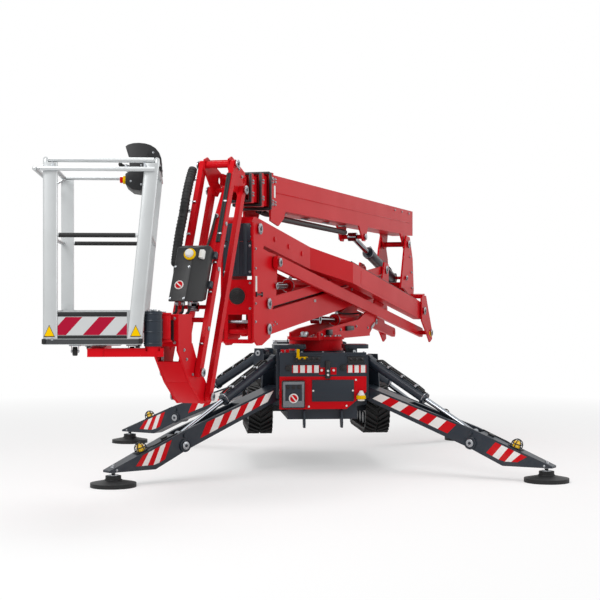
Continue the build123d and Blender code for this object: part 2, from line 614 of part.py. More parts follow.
def collar(index, y0):
    """The collar round a section's front end."""
    width = BOOM_W - 2 * SECTION_STEP * index
    height = BOOM_TOP - BOOM_BOTTOM - 2 * SECTION_STEP * index
    middle = (BOOM_TOP + BOOM_BOTTOM) / 2
    body = Pos(0, y0 + COLLAR_L / 2, middle) * Box(width + 24, COLLAR_L, height + 24)
    body -= Pos(0, y0 + COLLAR_L / 2, middle) * Box(width - 2 * SECTION_WALL, COLLAR_L + 2, height - 2 * SECTION_WALL)
    return body


outer = section(0, BOOM_FRONT, BOOM_REAR) + collar(0, BOOM_FRONT)
rear_bracket = [(2480, BOOM_BOTTOM + 60), (2700, 1900), (2790, 1910), (2860, BOOM_BOTTOM + 60)]
outer += both_sides(side_plate(rear_bracket, BOOM_W / 2 - 14, BOOM_W / 2))
ram_bracket = [(900, BOOM_BOTTOM + 70), (1110, 1915), (1190, 1915), (1330, BOOM_BOTTOM + 70)]
outer += both_sides(side_plate(ram_bracket, BOOM_W / 2 - 14, BOOM_W / 2))
outer -= side_disc(BOOM_PIVOT[0], BOOM_PIVOT[1], PIN_R + 0.3, -BOOM_W, BOOM_W)
outer += both_sides(side_disc(LIFT_RAM_BOOM[0], LIFT_RAM_BOOM[1], 20, 46, BOOM_W / 2 + 8))
rest = [(-1480, BOOM_BOTTOM + 40), (-1480, 1960), (-1300, 1930), (-1180, 1990), (-1100, BOOM_BOTTOM + 40)]
outer += both_sides(side_plate(rest, BOOM_W / 2 - 14, BOOM_W / 2))
parts["boom_outer"] = outer
parts["boom_middle"] = section(1, BOOM_FRONT - MIDDLE_OUT, BOOM_REAR - 250) + collar(1, BOOM_FRONT - MIDDLE_OUT)
inner = section(2, BOOM_FRONT - INNER_OUT, BOOM_REAR - 500) + collar(2, BOOM_FRONT - INNER_OUT)
inner_x = BOOM_W / 2 - 2 * SECTION_STEP
head_side = [(-1820, 2150), (-1820, 2250), (-2060, 2262), (-2070, 2180), (-1990, 2150)]
inner += both_sides(side_plate(head_side, inner_x - 30, inner_x - 14))
inner += side_disc(HEAD_PIVOT[0], HEAD_PIVOT[1], PIN_R, -inner_x + 14, inner_x - 14)
parts["boom_inner"] = inner
tube_y0, tube_y1 = -1090.0, 880.0
hose_tube = extrude(Plane(origin=(0, tube_y0, 2008), x_dir=(1, 0, 0), z_dir=(0, 1, -0.012)) * Circle(24), tube_y1 - tube_y0)
parts["hose_tube"] = hose_tube

barrel, rod = ram(LIFT_RAM_LINK, LIFT_RAM_BOOM, RAM_R, ROD_R, 980, 80)
parts["lift_barrel"] = barrel
parts["lift_rod"] = rod

# Boom head and jib

head = both_sides(side_plate([(-1990, 2160), (-1990, 2270), (-2250, 2360), (-2310, 2340), (-2310, 2270), (-2130, 2100),
                              (-2060, 2100)], 84, 94))
head += side_disc(JIB_FRONT_TOP[0], JIB_FRONT_TOP[1], 24, -84, 84)
for y, z in (JIB_FRONT_TOP, JIB_REAR_TOP):
    head += both_sides(side_disc(y, z, 18, 84, JIB_X + JIB_BEAM_W / 2 + 10))
head += side_disc(JIB_REAR_TOP[0], JIB_REAR_TOP[1], 14, -90, 90)
head -= side_disc(HEAD_PIVOT[0], HEAD_PIVOT[1], PIN_R + 0.3, -200, 200)
parts["boom_head"] = head


def jib_end(top):
    return (top[0] + JIB_REACH[0], top[1] + JIB_REACH[1])


def jib_pair(top):
    """The two beams that hang from one pin of the boom head."""
    x0 = JIB_X - JIB_BEAM_W / 2
    beam = link_bar(top, jib_end(top), JIB_BEAM_H, x0, x0 + JIB_BEAM_W)
    for y, z in (top, jib_end(top)):
        beam -= side_disc(y, z, 18.3, x0, x0 + JIB_BEAM_W)
    return both_sides(beam)


parts["jib_rear"] = jib_pair(JIB_REAR_TOP)
ram_eye = (JIB_FRONT_TOP[0] + JIB_RAM_SHARE * JIB_REACH[0], JIB_FRONT_TOP[1] + JIB_RAM_SHARE * JIB_REACH[1])
jib_front = jib_pair(JIB_FRONT_TOP)
jib_front += both_sides(side_disc(ram_eye[0], ram_eye[1], 14, 36, JIB_X))
cross_y, cross_z = (JIB_FRONT_TOP[i] + 0.76 * JIB_REACH[i] for i in (0, 1))
jib_front += side_disc(cross_y, cross_z, 16, -JIB_X, JIB_X)
parts["jib_front"] = jib_front
barrel, rod = ram(JIB_REAR_TOP, ram_eye, JIB_RAM_R, 20, 640, 60)
parts["jib_barrel"] = barrel
parts["jib_rod"] = rod


def jib_line(z, off):
    """A point off ahead of the front beams' line, at height z."""
    return (JIB_FRONT_TOP[0] + (z - JIB_FRONT_TOP[1]) * JIB_REACH[0] / JIB_REACH[1] - off, z)


box_points = [jib_line(1365, 225), jib_line(1720, 225), jib_line(1735, 150), jib_line(1700, 62), jib_line(1375, 62), jib_line(1365, 120)]
parts["jib_box"] = side_plate(box_points, -96, 104)

link_x = JIB_X - JIB_BEAM_W / 2 - 4
jib_link = both_sides(side_plate([
    (-2640, 760), (-2680, 700), (-2790, 700), (-3000, 850), (-3190, 1060), (-3190, 1100), (-2960, 1100), (-2860, 960)],
    link_x - 14, link_x))
for top in (JIB_FRONT_TOP, JIB_REAR_TOP):
    y, z = jib_end(top)
    jib_link += side_disc(y, z, 18, -JIB_X - JIB_BEAM_W / 2 - 10, JIB_X + JIB_BEAM_W / 2 + 10)
jib_link += Pos(0, -3080, 1185) * Box(2 * link_x, 220, 200)
parts["jib_link"] = jib_link

rotator = Pos(0, ROTATOR_Y, ROTATOR_LOW) * Cylinder(ROTATOR_R, ROTATOR_HIGH - ROTATOR_LOW, align=(
    Align.CENTER, Align.CENTER, Align.MIN))
rotator += Pos(0, ROTATOR_Y / 2 - 1600, 1200) * Box(70, 100, 120)
parts["rotator"] = rotator

# Everything so far on the turret is swung round the slewing axis

SWUNG = (
    "turret lower_arm lower_tie lower_ram_barrel lower_ram_rod mid_link mid_cover upper_arm upper_tie "
    "upper_ram_barrel upper_ram_rod rear_link boom_outer boom_middle boom_inner hose_tube lift_barrel lift_rod "
    "boom_head jib_front jib_rear jib_barrel jib_rod jib_box jib_link rotator"
).split()
for name in SWUNG:
    parts[name] = Rot(0, 0, -SLEW_DEG) * parts[name]


def swung(x, y):
    """A point of the straight superstructure, swung."""
    c, s = math.cos(math.radians(SLEW_DEG)), math.sin(math.radians(SLEW_DEG))
    return (c * x + s * y, -s * x + c * y)


# Basket, which stands along the chassis

ROT_X, ROT_YY = swung(0, ROTATOR_Y)
width = BASKET_X1 - BASKET_X0
length = BASKET_Y1 - BASKET_Y0
mid_x = (BASKET_X0 + BASKET_X1) / 2
mid_y = (BASKET_Y0 + BASKET_Y1) / 2
low_x1 = BASKET_X1 - BASKET_TAPER


def rail_x1(z):
    """The machine side of the basket leans in towards its floor."""
    share = (z - FLOOR_Z) / (RAIL_TOP - FLOOR_Z)
    return low_x1 + share * BASKET_TAPER


RAIL_GAP = 0.4             # rails and posts are separate tubes that meet end to side


def rails(z, radius):
    """The four straight rails at one height, between the corner posts' outer faces."""
    x0, x1 = BASKET_X0 + radius, rail_x1(z) - radius
    y0, y1 = BASKET_Y0 + radius, BASKET_Y1 - radius
    bars = []
    for x in (x0, x1):
        bars.append(Pos(x, (y0 + y1) / 2, z) * Rot(90, 0, 0) * Cylinder(radius, BASKET_Y1 - BASKET_Y0))
    for y in (y0, y1):
        bars.append(Pos((x0 + x1) / 2, y, z) * Rot(0, 90, 0) * Cylinder(radius, x1 - x0 - 2 * radius - 2 * RAIL_GAP))
    return bars


def basket_post(y):
    """The two posts at one end of the basket: one upright, and one that leans with the machine side."""
    z0, z1 = FLOOR_Z + FLOOR_T + RAIL_GAP, RAIL_TOP - 2 * RAIL_R - RAIL_GAP
    upright = Pos(BASKET_X0 + POST_W / 2, y, (z0 + z1) / 2) * Box(POST_W, POST_T, z1 - z0)
    lean = [(rail_x1(z0) - POST_W, z0), (rail_x1(z0), z0), (rail_x1(z1), z1), (rail_x1(z1) - POST_W, z1)]
    leaning = extrude(Plane.XZ.offset(-y - POST_T / 2) * Polygon(*lean, align=None), POST_T, dir=(0, -1, 0))
    return [upright, leaning]


mid_keep = Pos(mid_x, mid_y, MID_RAIL_Z) * Box(2 * width, length - 2 * POST_T - 2 * RAIL_GAP, 8 * RAIL_R)
pieces = rails(RAIL_TOP - RAIL_R, RAIL_R)
pieces += [bar & mid_keep for bar in rails(MID_RAIL_Z, MID_RAIL_R)[:2]]
bump_x, bump_y = BASKET_X0 - BUMPER_OUT, BASKET_Y0 - BUMPER_OUT + 16
pieces.append(Pos(bump_x, mid_y, BUMPER_Z) * Rot(90, 0, 0) * Cylinder(BUMPER_R, length + 30))
pieces.append(Pos((bump_x + BASKET_X1 - 30) / 2 + 15, bump_y, BUMPER_Z) * Rot(0, 90, 0) * Cylinder(
    BUMPER_R, BASKET_X1 - 60 - bump_x))
for y in (BASKET_Y0 + POST_T / 2, BASKET_Y1 - POST_T / 2):
    pieces += basket_post(y)
    bar_x0, bar_x1 = BASKET_X0 + POST_W + RAIL_GAP, rail_x1(MID_RAIL_Z) - POST_W - 2 - RAIL_GAP
    pieces.append(Pos((bar_x0 + bar_x1) / 2, y, MID_RAIL_Z) * Rot(0, 90, 0) * Cylinder(MID_RAIL_R, bar_x1 - bar_x0))
basket = pieces[0] + pieces[1:]
parts["basket_frame"] = basket

kick_z = FLOOR_Z + FLOOR_T + KICK_H / 2
floor = Pos((BASKET_X0 + low_x1) / 2, mid_y, FLOOR_Z + FLOOR_T / 2) * Box(low_x1 - BASKET_X0, length, FLOOR_T)
kick_x0 = BASKET_X0 + POST_W + RAIL_GAP
kick_x1 = low_x1 - POST_W - RAIL_GAP
for y in (BASKET_Y0 + KICK_T / 2 + 4, BASKET_Y1 - KICK_T / 2 - 4):
    floor += Pos((kick_x0 + kick_x1) / 2, y, kick_z) * Box(kick_x1 - kick_x0, KICK_T, KICK_H)
kick_l = length - 2 * POST_T - 2 * RAIL_GAP
for x in (BASKET_X0 + KICK_T / 2 + 4, low_x1 - KICK_T / 2 - 4):
    floor += Pos(x, mid_y, kick_z) * Box(KICK_T, kick_l, KICK_H)
floor += Pos(mid_x - 60, mid_y + 100, FLOOR_Z - 12) * Box(300, 500, 24)
parts["basket_floor"] = floor

# The red arm that runs under the floor from the rotator, and the casters the basket rests on when it is set down
arm_z = FLOOR_Z - 24.3 - ARM_H / 2
arm = Pos((ROT_X + mid_x) / 2, ROT_YY + 5, arm_z) * Box(abs(mid_x - ROT_X) + 130, 96, ARM_H)
arm += Pos(mid_x - 40, (ROT_YY + mid_y + 340) / 2, arm_z) * Box(96, mid_y + 340 - ROT_YY + 96, ARM_H)
arm -= Pos(ROT_X, ROT_YY, FLOOR_Z) * Cylinder(ROTATOR_R + 6, 2 * (FLOOR_Z - ROTATOR_LOW) + 60)
arm += Pos(ROT_X, ROT_YY, arm_z - ARM_H / 2) * Cylinder(50, ROTATOR_LOW - 0.5 - arm_z + ARM_H / 2, align=(
    Align.CENTER, Align.CENTER, Align.MIN))
parts["basket_arm"] = arm
rail_x = rail_x1(RAIL_TOP - RAIL_R) - RAIL_R
console_side = [(-1475, 2090), (-1475, 2180), (-1440, 2180), (-1425, 2335), (-1330, 2362), (-1250, 2340), (-1246, 2262),
                (-1340, 2262), (-1340, 2060)]
console = extrude(Plane.XZ.offset(2900) * Polygon(*console_side, align=None), 400, dir=(0, 1, 0))
parts["console"] = console

# The origin goes to the floor under the middle of the whole machine

boxes = [shape.bounding_box() for shape in parts.values()]
LOW = Vector(min(b.min.X for b in boxes), min(b.min.Y for b in boxes), 0)
HIGH = Vector(max(b.max.X for b in boxes), max(b.max.Y for b in boxes), max(b.max.Z for b in boxes))
SHIFT = (-(LOW.X + HIGH.X) / 2, -(LOW.Y + HIGH.Y) / 2)
for name, shape in parts.items():
    export_step(Pos(SHIFT[0], SHIFT[1], 0) * shape, "parts/" + name + ".step")
print("shift", SHIFT, "from", tuple(LOW), "to", tuple(HIGH))
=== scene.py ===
import json
import math

import bmesh
import bpy
from bpy.props import FloatProperty, FloatVectorProperty, IntProperty, PointerProperty
from mathutils import Matrix, Vector


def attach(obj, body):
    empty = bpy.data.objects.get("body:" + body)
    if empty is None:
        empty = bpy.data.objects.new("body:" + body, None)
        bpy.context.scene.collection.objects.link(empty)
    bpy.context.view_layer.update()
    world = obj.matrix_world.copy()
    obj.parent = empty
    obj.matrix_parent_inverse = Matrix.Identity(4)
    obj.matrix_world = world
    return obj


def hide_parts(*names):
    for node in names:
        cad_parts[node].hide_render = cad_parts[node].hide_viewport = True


bl_info = {
    "name": "Spider lift dressing",
    "version": (1, 0, 0),
    "blender": (4, 2, 0),
    "location": "3D View > Sidebar > Spider lift",
    "description": "Paint, striped plates, pins, hoses, treads and fittings for a tracked spider lift",
    "category": "Object",
}

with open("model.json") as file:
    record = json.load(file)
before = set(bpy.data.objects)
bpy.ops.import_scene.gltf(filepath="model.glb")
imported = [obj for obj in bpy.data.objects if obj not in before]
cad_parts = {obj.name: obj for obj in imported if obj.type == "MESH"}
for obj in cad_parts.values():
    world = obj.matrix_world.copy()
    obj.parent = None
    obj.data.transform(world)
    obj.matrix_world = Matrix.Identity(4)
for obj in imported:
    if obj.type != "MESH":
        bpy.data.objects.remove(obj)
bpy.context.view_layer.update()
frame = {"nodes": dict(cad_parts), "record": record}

# Metres. CHASSIS is the chassis's own frame: X to its right, Y to its engine end, origin on the floor
# under the slewing axis. SWING is the superstructure's frame, with the boom along Y before it is swung.

JOINTS = {j["name"]: j for j in frame["record"]["behaviour"]["joints"]}
SLEW = Vector(JOINTS["slew"]["pos_m"])
SLEW.z = 0.0
CHASSIS = Matrix.Translation(SLEW)
SWING = CHASSIS @ Matrix.Rotation(math.radians(-22.6), 4, "Z")
LEG_NAMES = ("front_left", "front_right", "rear_left", "rear_right")


def leg_place(name):
    """A leg's own frame: X outward from its root, Z up."""
    joint = JOINTS["leg_" + name + "_hinge"]
    x, y, _ = joint["pos_m"]
    across_x, across_y, _ = joint["axis"]
    heading = math.atan2(across_x, -across_y)
    return Matrix.Translation((x, y, 0)) @ Matrix.Rotation(heading, 4, "Z")


def linear(code):
    """A paint chart's hex colour as the linear numbers that a colour property holds."""
    parts = [int(code[i:i + 2], 16) / 255 for i in (1, 3, 5)]
    return tuple(p / 12.92 if p <= 0.04045 else ((p + 0.055) / 1.055) ** 2.4 for p in parts)


# What a user would change

def colour(label, about, code):
    return FloatVectorProperty(name=label, description=about, subtype="COLOR", size=3, min=0, max=1,
                               default=linear(code))


def length(label, about, value):
    return FloatProperty(name=label, description=about, subtype="DISTANCE", unit="LENGTH", min=0,
                         default=value)


class LiftColours(bpy.types.PropertyGroup):
    """The paints and plastics of the machine."""
    red: colour("Red enamel", "Arms, boom, jib and covers", "#d0111c")
    steel: colour("Blue-grey enamel", "Legs, chassis and rams", "#262e38")
    rubber: colour("Rubber", "Tracks, pads and hoses", "#101112")
    plastic: colour("Black plastic", "Boxes, guides and knobs", "#17181a")
    aluminium: colour("Aluminium", "Basket", "#cdd0d1")
    zinc: colour("Zinc", "Pins and bolts", "#a8abaf")
    chrome: colour("Chrome", "Ram rods", "#8d9298")
    yellow: colour("Signal yellow", "Lamps, levers and blank signs", "#f4c400")
    white: colour("White", "White stripes and blank labels", "#f1f1ee")
    iron: colour("Bare iron", "Engine and the basket's floor frame", "#3a3c3e")
    crimson: colour("Crimson film", "Kick plate stripes", "#ab1836")
    pale: colour("Pale film", "Kick plate stripes", "#c9cbcc")


class LiftSizes(bpy.types.PropertyGroup):
    """The sizes of the dressing."""
    stripe: length("Stripe", "Width of one long stripe on a leg", 0.082)
    short_stripe: length("Short stripe", "Width of one stripe near a leg's tip", 0.050)
    kick_stripe: length("Kick stripe", "Width of one stripe on the basket's kick plate", 0.100)
    plate: length("Plate", "Thickness of striped plates and labels", 0.0015)
    bolt: length("Bolt", "Radius of a bolt's head", 0.009)
    hose: length("Hose", "Radius of a hose", 0.0095)
    wire: length("Guard wire", "Radius of a lamp guard's wire", 0.004)
    lugs: IntProperty(name="Lugs", description="Pairs of lugs round a track", min=8, default=62)
    lug: length("Lug", "Height of a lug", 0.020)


def colours():
    return bpy.context.scene.lift_colours


def sizes():
    return bpy.context.scene.lift_sizes


# Finishes


class Wire:
    """A shader socket that takes part in plain arithmetic."""

    def __init__(self, finish, socket):
        self.finish = finish
        self.socket = socket

    def maths(self, operation, first, second=0.0):
        return self.finish.node("Math", {"operation": operation}, {0: first, 1: second})

    def __add__(self, other):
        return self.maths("ADD", self, other)

    def __rsub__(self, other):
        return self.maths("SUBTRACT", other, self)

    def __mul__(self, other):
        return self.maths("MULTIPLY", self, other)

    __radd__ = __add__
    __rmul__ = __mul__

    def over(self, low, high):
        """0 at low and 1 at high, and no further."""
        ends = {"Value": self, "From Min": low, "From Max": high}
        return self.finish.node("MapRange", {"clamp": True}, ends)


class Finish:
    """One material, written as arithmetic on the piece's own coordinates."""

    def __init__(self, name, **surface):
        self.material = bpy.data.materials.new(name)
        self.material.use_nodes = True
        self.tree = self.material.node_tree
        self.shader = self.tree.nodes["Principled BSDF"]
        for label, value in surface.items():
            self.feed(self.shader.inputs[label.replace("_", " ").title().replace("Ior", "IOR")], value)
        self.place = self.node("TexCoord", {}, {}, "Object")

    def feed(self, socket, value):
        if isinstance(value, Wire):
            self.tree.links.new(value.socket, socket)
        elif hasattr(value, "__len__") and len(value) == 3 and socket.type == "RGBA":
            socket.default_value = (*value, 1)
        else:
            socket.default_value = value

    def node(self, kind, settings, sockets, out=0):
        """Any node: its type, its settings, and the values or links of its sockets."""
        made = self.tree.nodes.new("ShaderNode" + kind)
        for key, value in settings.items():
            setattr(made, key, value)
        for key, value in sockets.items():
            self.feed(made.inputs[key], value)
        return Wire(self, made.outputs[out])

    def noise(self, scale, detail=2.0, stretch=None, rough=0.5):
        place = self.place
        if stretch:
            place = self.node("Mapping", {}, {"Vector": place, "Scale": stretch})
        sockets = {"Vector": place, "Scale": scale, "Detail": detail, "Roughness": rough}
        return self.node("TexNoise", {}, sockets)

    def mix(self, share, first, second):
        return self.node("Mix", {"data_type": "RGBA"}, {0: share, 6: first, 7: second}, 2)

    def height(self):
        return self.node("SeparateXYZ", {}, {0: self.place}, 2)

    def bump(self, height, strength, distance):
        normal = self.node("Bump", {}, {"Height": height, "Strength": strength, "Distance": distance})
        self.feed(self.shader.inputs["Normal"], normal)

    def paint(self, label, value):
        self.feed(self.shader.inputs[label], value)
        return self


def shade(tone, share):
    return tuple(c * share for c in tone)


def enamel(name, tone, rough, gloss, shine=0.05):
    """Sprayed enamel: a little cloudy, with fine orange peel, and dulled by dust low down."""
    f = Finish(name, coat_weight=gloss, coat_roughness=0.1, specular_ior_level=shine)
    cloud = f.noise(2.2, 4.0)
    speck = f.noise(60.0, 3.0).over(0.62, 0.78)
    base = f.mix(cloud.over(0.35, 0.7) * 0.22, tone, shade(tone, 0.72))
    dust = (0.5 - f.height()).over(0.0, 0.5) * f.noise(9.0, 5.0).over(0.4, 0.75) * 0.16
    base = f.mix(dust, base, linear("#8b857b"))
    f.paint("Base Color", f.mix(speck * 0.10, base, shade(tone, 0.55)))
    f.paint("Roughness", rough + cloud * 0.10 + dust * 0.9)
    f.bump(f.noise(420.0, 1.0), 0.04, 0.0006)
    return f.material


def moulded(name, tone, rough, grain):
    """Moulded plastic or rubber with a fine grain and scuffed lighter patches."""
    f = Finish(name, specular_ior_level=0.4)
    scuff = f.noise(14.0, 6.0, rough=0.65).over(0.55, 0.8)
    f.paint("Base Color", f.mix(scuff * 0.35, tone, tuple(min(1, c * 1.9 + 0.012) for c in tone)))
    f.paint("Roughness", rough + scuff * 0.15)
    f.bump(f.noise(900.0, 2.0), grain, 0.0006)
    return f.material


def brushed(name, tone, rough, stretch, strength=0.12):
    """Metal brushed one way, with faint clouds of oxide."""
    f = Finish(name, metallic=1.0)
    line = f.noise(38.0, 3.0, stretch=stretch)
    cloud = f.noise(5.0, 3.0)
    f.paint("Base Color", f.mix(cloud.over(0.3, 0.75) * 0.3, tone, shade(tone, 0.8)))
    f.paint("Roughness", rough + line * 0.14)
    f.bump(line, strength, 0.0004)
    return f.material


def clear_cover(name):
    """Tinted clear plastic over the socket box."""
    f = Finish(name, coat_weight=0.6, coat_roughness=0.05)
    scratch = f.noise(120.0, 4.0).over(0.55, 0.7)
    f.paint("Base Color", f.mix(scratch * 0.2, linear("#6d757b"), linear("#aab1b6")))
    f.paint("Roughness", 0.16 + scratch * 0.2)
    return f.material


def lens(name, tone):
    """A ribbed lens that glows a little."""
    f = Finish(name, coat_weight=1.0, coat_roughness=0.06, roughness=0.25, emission_strength=0.25)
    rib = f.node("TexWave", {"bands_direction": "Z"}, {"Vector": f.place, "Scale": 90.0}, "Fac")
    body = f.mix(rib * 0.35, tone, shade(tone, 0.7))
    f.paint("Base Color", body)
    f.paint("Emission Color", body)
    f.bump(rib, 0.2, 0.001)
    return f.material


FINISHES = {}


def mat(name):
    return FINISHES[name]


# Shapes


def only(geometry, kind):
    """The vertices, edges or faces among what an operator gives back."""
    return [g for g in geometry if isinstance(g, kind)]


FORE, UP = Vector((0, -1, 0)), Vector((0, 0, 1))
BEVEL_FROM = 0.5  # radians between two faces from which their edge takes a bevel
SMOOTH_TO = math.radians(34)


class Shop:
    """Shapes gathered into one piece. Each is built in its own frame, finished, and set in place."""

    def __init__(self, place):
        self.place = place
        self.bm = bmesh.new()
        self.mats = []

    def add(self, part, finish, matrix=Matrix(), bevel=0.0, segments=2):
        """Takes a small bmesh into the piece, with its edges bevelled."""
        bmesh.ops.remove_doubles(part, verts=part.verts, dist=1e-6)
        if bevel:
            sharp = [e for e in part.edges
                     if len(e.link_faces) == 2 and e.calc_face_angle() > BEVEL_FROM]
            bmesh.ops.bevel(part, geom=sharp, offset=bevel, affect="EDGES", segments=segments,
                            profile=0.5, material=-1)
        bmesh.ops.transform(part, matrix=self.place @ matrix, verts=part.verts)
        bmesh.ops.recalc_face_normals(part, faces=part.faces)
        if finish not in self.mats:
            self.mats.append(finish)
        for face in part.faces:
            face.material_index = self.mats.index(finish)
        spare = bpy.data.meshes.new("spare")
        part.to_mesh(spare)
        part.free()
        self.bm.from_mesh(spare)
        bpy.data.meshes.remove(spare)

    def block(self, centre, size, finish, bevel=0.0, turn=Matrix()):
        part = bmesh.new()
        bmesh.ops.create_cube(part, size=1.0, matrix=Matrix.Diagonal((*size, 1)))
        self.add(part, finish, Matrix.Translation(centre) @ turn, min(bevel, min(size) * 0.45))

    def rod(self, start, end, radius, finish, sides=20, bevel=0.0, end_radius=None):
        """A round bar or cone from one point to another."""
        start, end = Vector(start), Vector(end)
        way = end - start
        part = bmesh.new()
        bmesh.ops.create_cone(part, cap_ends=True, segments=sides, radius1=radius,
                              radius2=radius if end_radius is None else end_radius, depth=way.length)
        turn = way.to_track_quat("Z", "Y").to_matrix().to_4x4()
        self.add(part, finish, Matrix.Translation((start + end) / 2) @ turn, bevel)

    def turned(self, spot, axis, *steps):
        """Discs on one axis. Each step: how far it reaches, its radius, finish, sides and bevel."""
        spot, axis, start = Vector(spot), Vector(axis), 0.0
        for reach, *disc in steps:
            self.rod(spot + axis * start, spot + axis * reach, *disc)
            start = reach

    def pairs(self, *rows):
        """Blocks on both sides of the middle. Each row: centre, size, finish, bevel."""
        for (x, y, z), *rest in rows:
            for side in (-1, 1):
                self.block((side * x, y, z), *rest)

    def ball(self, centre, radius, finish):
        part = bmesh.new()
        bmesh.ops.create_uvsphere(part, u_segments=20, v_segments=12, radius=radius)
        self.add(part, finish, Matrix.Translation(centre))

    def ring(self, centre, axis, radius, wire, finish, arc=360.0, start=(1, 0, 0), steps=32):
        """A round wire bent about an axis, closed or through an arc."""
        axis = Vector(axis).normalized()
        out = Vector(start)
        out = (out - axis * out.dot(axis)).normalized()
        part = bmesh.new()
        made = bmesh.ops.create_circle(part, cap_ends=arc < 360.0, segments=8, radius=wire)
        facing = axis.cross(out).to_track_quat("Z", "Y").to_matrix().to_4x4()
        bmesh.ops.transform(part, matrix=Matrix.Translation(out * radius) @ facing, verts=made["verts"])
        geometry = part.verts[:] + part.edges[:] + part.faces[:]
        bmesh.ops.spin(part, geom=geometry, cent=(0, 0, 0), axis=axis, angle=math.radians(arc),
                       steps=steps, use_merge=arc >= 360.0)
        self.add(part, finish, Matrix.Translation(centre))

    def prism(self, points, way, finish, bevel=0.0):
        """A flat outline thickened along a direction."""
        part = bmesh.new()
        face = part.faces.new([part.verts.new(p) for p in points])
        made = bmesh.ops.extrude_face_region(part, geom=[face])
        bmesh.ops.translate(part, vec=way, verts=only(made["geom"], bmesh.types.BMVert))
        self.add(part, finish, Matrix(), bevel)

    def cheek(self, x, outline, thick, finish):
        """A plate on a side face, its outline given as (y, z)."""
        self.prism([(x, y, z) for y, z in outline], (thick, 0, 0), finish)

    def bolt(self, centre, axis, size=None):
        """A hexagon head on its washer."""
        size = size or sizes().bolt
        self.turned(centre, axis, (size * 0.25, size * 1.35, "zinc", 14),
                    (size, size, "zinc", 6, size * 0.12))

    def side_bolts(self, half, size, *spots):
        """Bolts on both side faces, half away from the middle, at each (y, z)."""
        for side in (-1, 1):
            for spot in spots:
                self.bolt((side * half, *spot), (side, 0, 0), size)

    def bolts(self, centre, axis, radius, count, size):
        """A circle of bolts."""
        axis = Vector(axis)
        out = axis.orthogonal().normalized()
        for i in range(count):
            spoke = Matrix.Rotation(2 * math.pi * i / count, 3, axis) @ out
            self.bolt(Vector(centre) + spoke * radius, axis, size)

    def pin(self, centre, axis, radius):
        """The end of a pivot pin: its disc, its grease nipple and three bolts."""
        head = 0.010
        self.turned(centre, axis, (head, radius * 1.28, "zinc", 32, 0.002),
                    (head + 0.004, radius * 0.5, "steel", 20, 0.001))
        self.bolts(Vector(centre) + Vector(axis) * head, axis, radius * 0.85, 3, radius * 0.16)

    def pins(self, half, *rows):
        """Pin ends on both side faces, half away from the middle. Each row: y, z, radius."""
        for side in (-1, 1):
            for y, z, radius in rows:
                self.pin((side * half, y, z), (side, 0, 0), radius)

    def finish(self, name, body, slot, stands_for=()):
        """The finished piece, which rides on a body."""
        mesh = bpy.data.meshes.new(name)
        self.bm.to_mesh(mesh)
        self.bm.free()
        for finish in self.mats:
            mesh.materials.append(mat(finish))
        for polygon in mesh.polygons:
            polygon.use_smooth = True
        mesh.set_sharp_from_angle(angle=SMOOTH_TO)
        piece = bpy.data.objects.new(name, mesh)
        bpy.context.scene.collection.objects.link(piece)
        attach(piece, body)
        if stands_for:
            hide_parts(*stands_for)


def hose(name, body, place, lines, radius):
    """Clipped hoses: each line of points becomes one smooth round hose."""
    curve = bpy.data.curves.new(name, "CURVE")
    curve.dimensions = "3D"
    curve.bevel_depth = radius
    curve.bevel_resolution = 3
    curve.resolution_u = 6
    curve.use_fill_caps = True
    for points in lines:
        spline = curve.splines.new("NURBS")
        spline.points.add(len(points) - 1)
        for point, value in zip(spline.points, points):
            point.co = (*(place @ Vector(value)), 1)
        spline.order_u = 3
        spline.use_endpoint_u = True
    curve.materials.append(mat("rubber"))
    piece = bpy.data.objects.new(name, curve)
    bpy.context.scene.collection.objects.link(piece)
    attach(piece, body)


# Operators


class LIFT_OT_paint(bpy.types.Operator):
    """Make the finishes and paint every carried-over solid with them"""
    bl_idname = "lift.paint"
    bl_label = "Paint"

    SLOTS = {"red_paint": "red", "dark_paint": "steel", "rubber": "rubber", "plastic": "plastic",
             "aluminium": "aluminium", "steel": "zinc", "chrome": "chrome", "lamp": "lamp", "engine": "iron"}

    def execute(self, context):
        c = {key: tuple(getattr(colours(), key)) for key in LiftColours.__annotations__}
        FINISHES.update({
            "red": enamel("red_enamel", c["red"], 0.26, 0.02),
            "steel": enamel("blue_grey_enamel", c["steel"], 0.30, 0.05, 0.3),
            "stripe_red": enamel("red_film", c["red"], 0.3, 0.0),
            "white": enamel("white_film", c["white"], 0.3, 0.0),
            "yellow": enamel("yellow_film", c["yellow"], 0.3, 0.0),
            "crimson": enamel("crimson_film", c["crimson"], 0.3, 0.0),
            "pale": enamel("pale_film", c["pale"], 0.3, 0.0),
            "rubber": moulded("black_rubber", c["rubber"], 0.56, 0.25),
            "plastic": moulded("black_plastic", c["plastic"], 0.42, 0.12),
            "aluminium": brushed("brushed_aluminium", c["aluminium"], 0.3, (14.0, 14.0, 0.6)),
            "zinc": brushed("zinc_plate", c["zinc"], 0.22, (4.0, 4.0, 4.0)),
            "chrome": brushed("polished_rod", c["chrome"], 0.05, (3.0, 3.0, 3.0), 0.02),
            "lamp": lens("yellow_lens", c["yellow"]),
            "iron": moulded("cast_iron", c["iron"], 0.6, 0.5),
            "clear": clear_cover("clear_cover"),
        })
        slot_of = {p["node"]: p["material_slot"] for p in frame["record"]["subparts"]}
        for name, node in frame["nodes"].items():
            chosen = mat(self.SLOTS[slot_of[name]])
            for held in node.material_slots:
                held.material = chosen
        return {"FINISHED"}


# The leg's side in its own frame, from its root to its tip

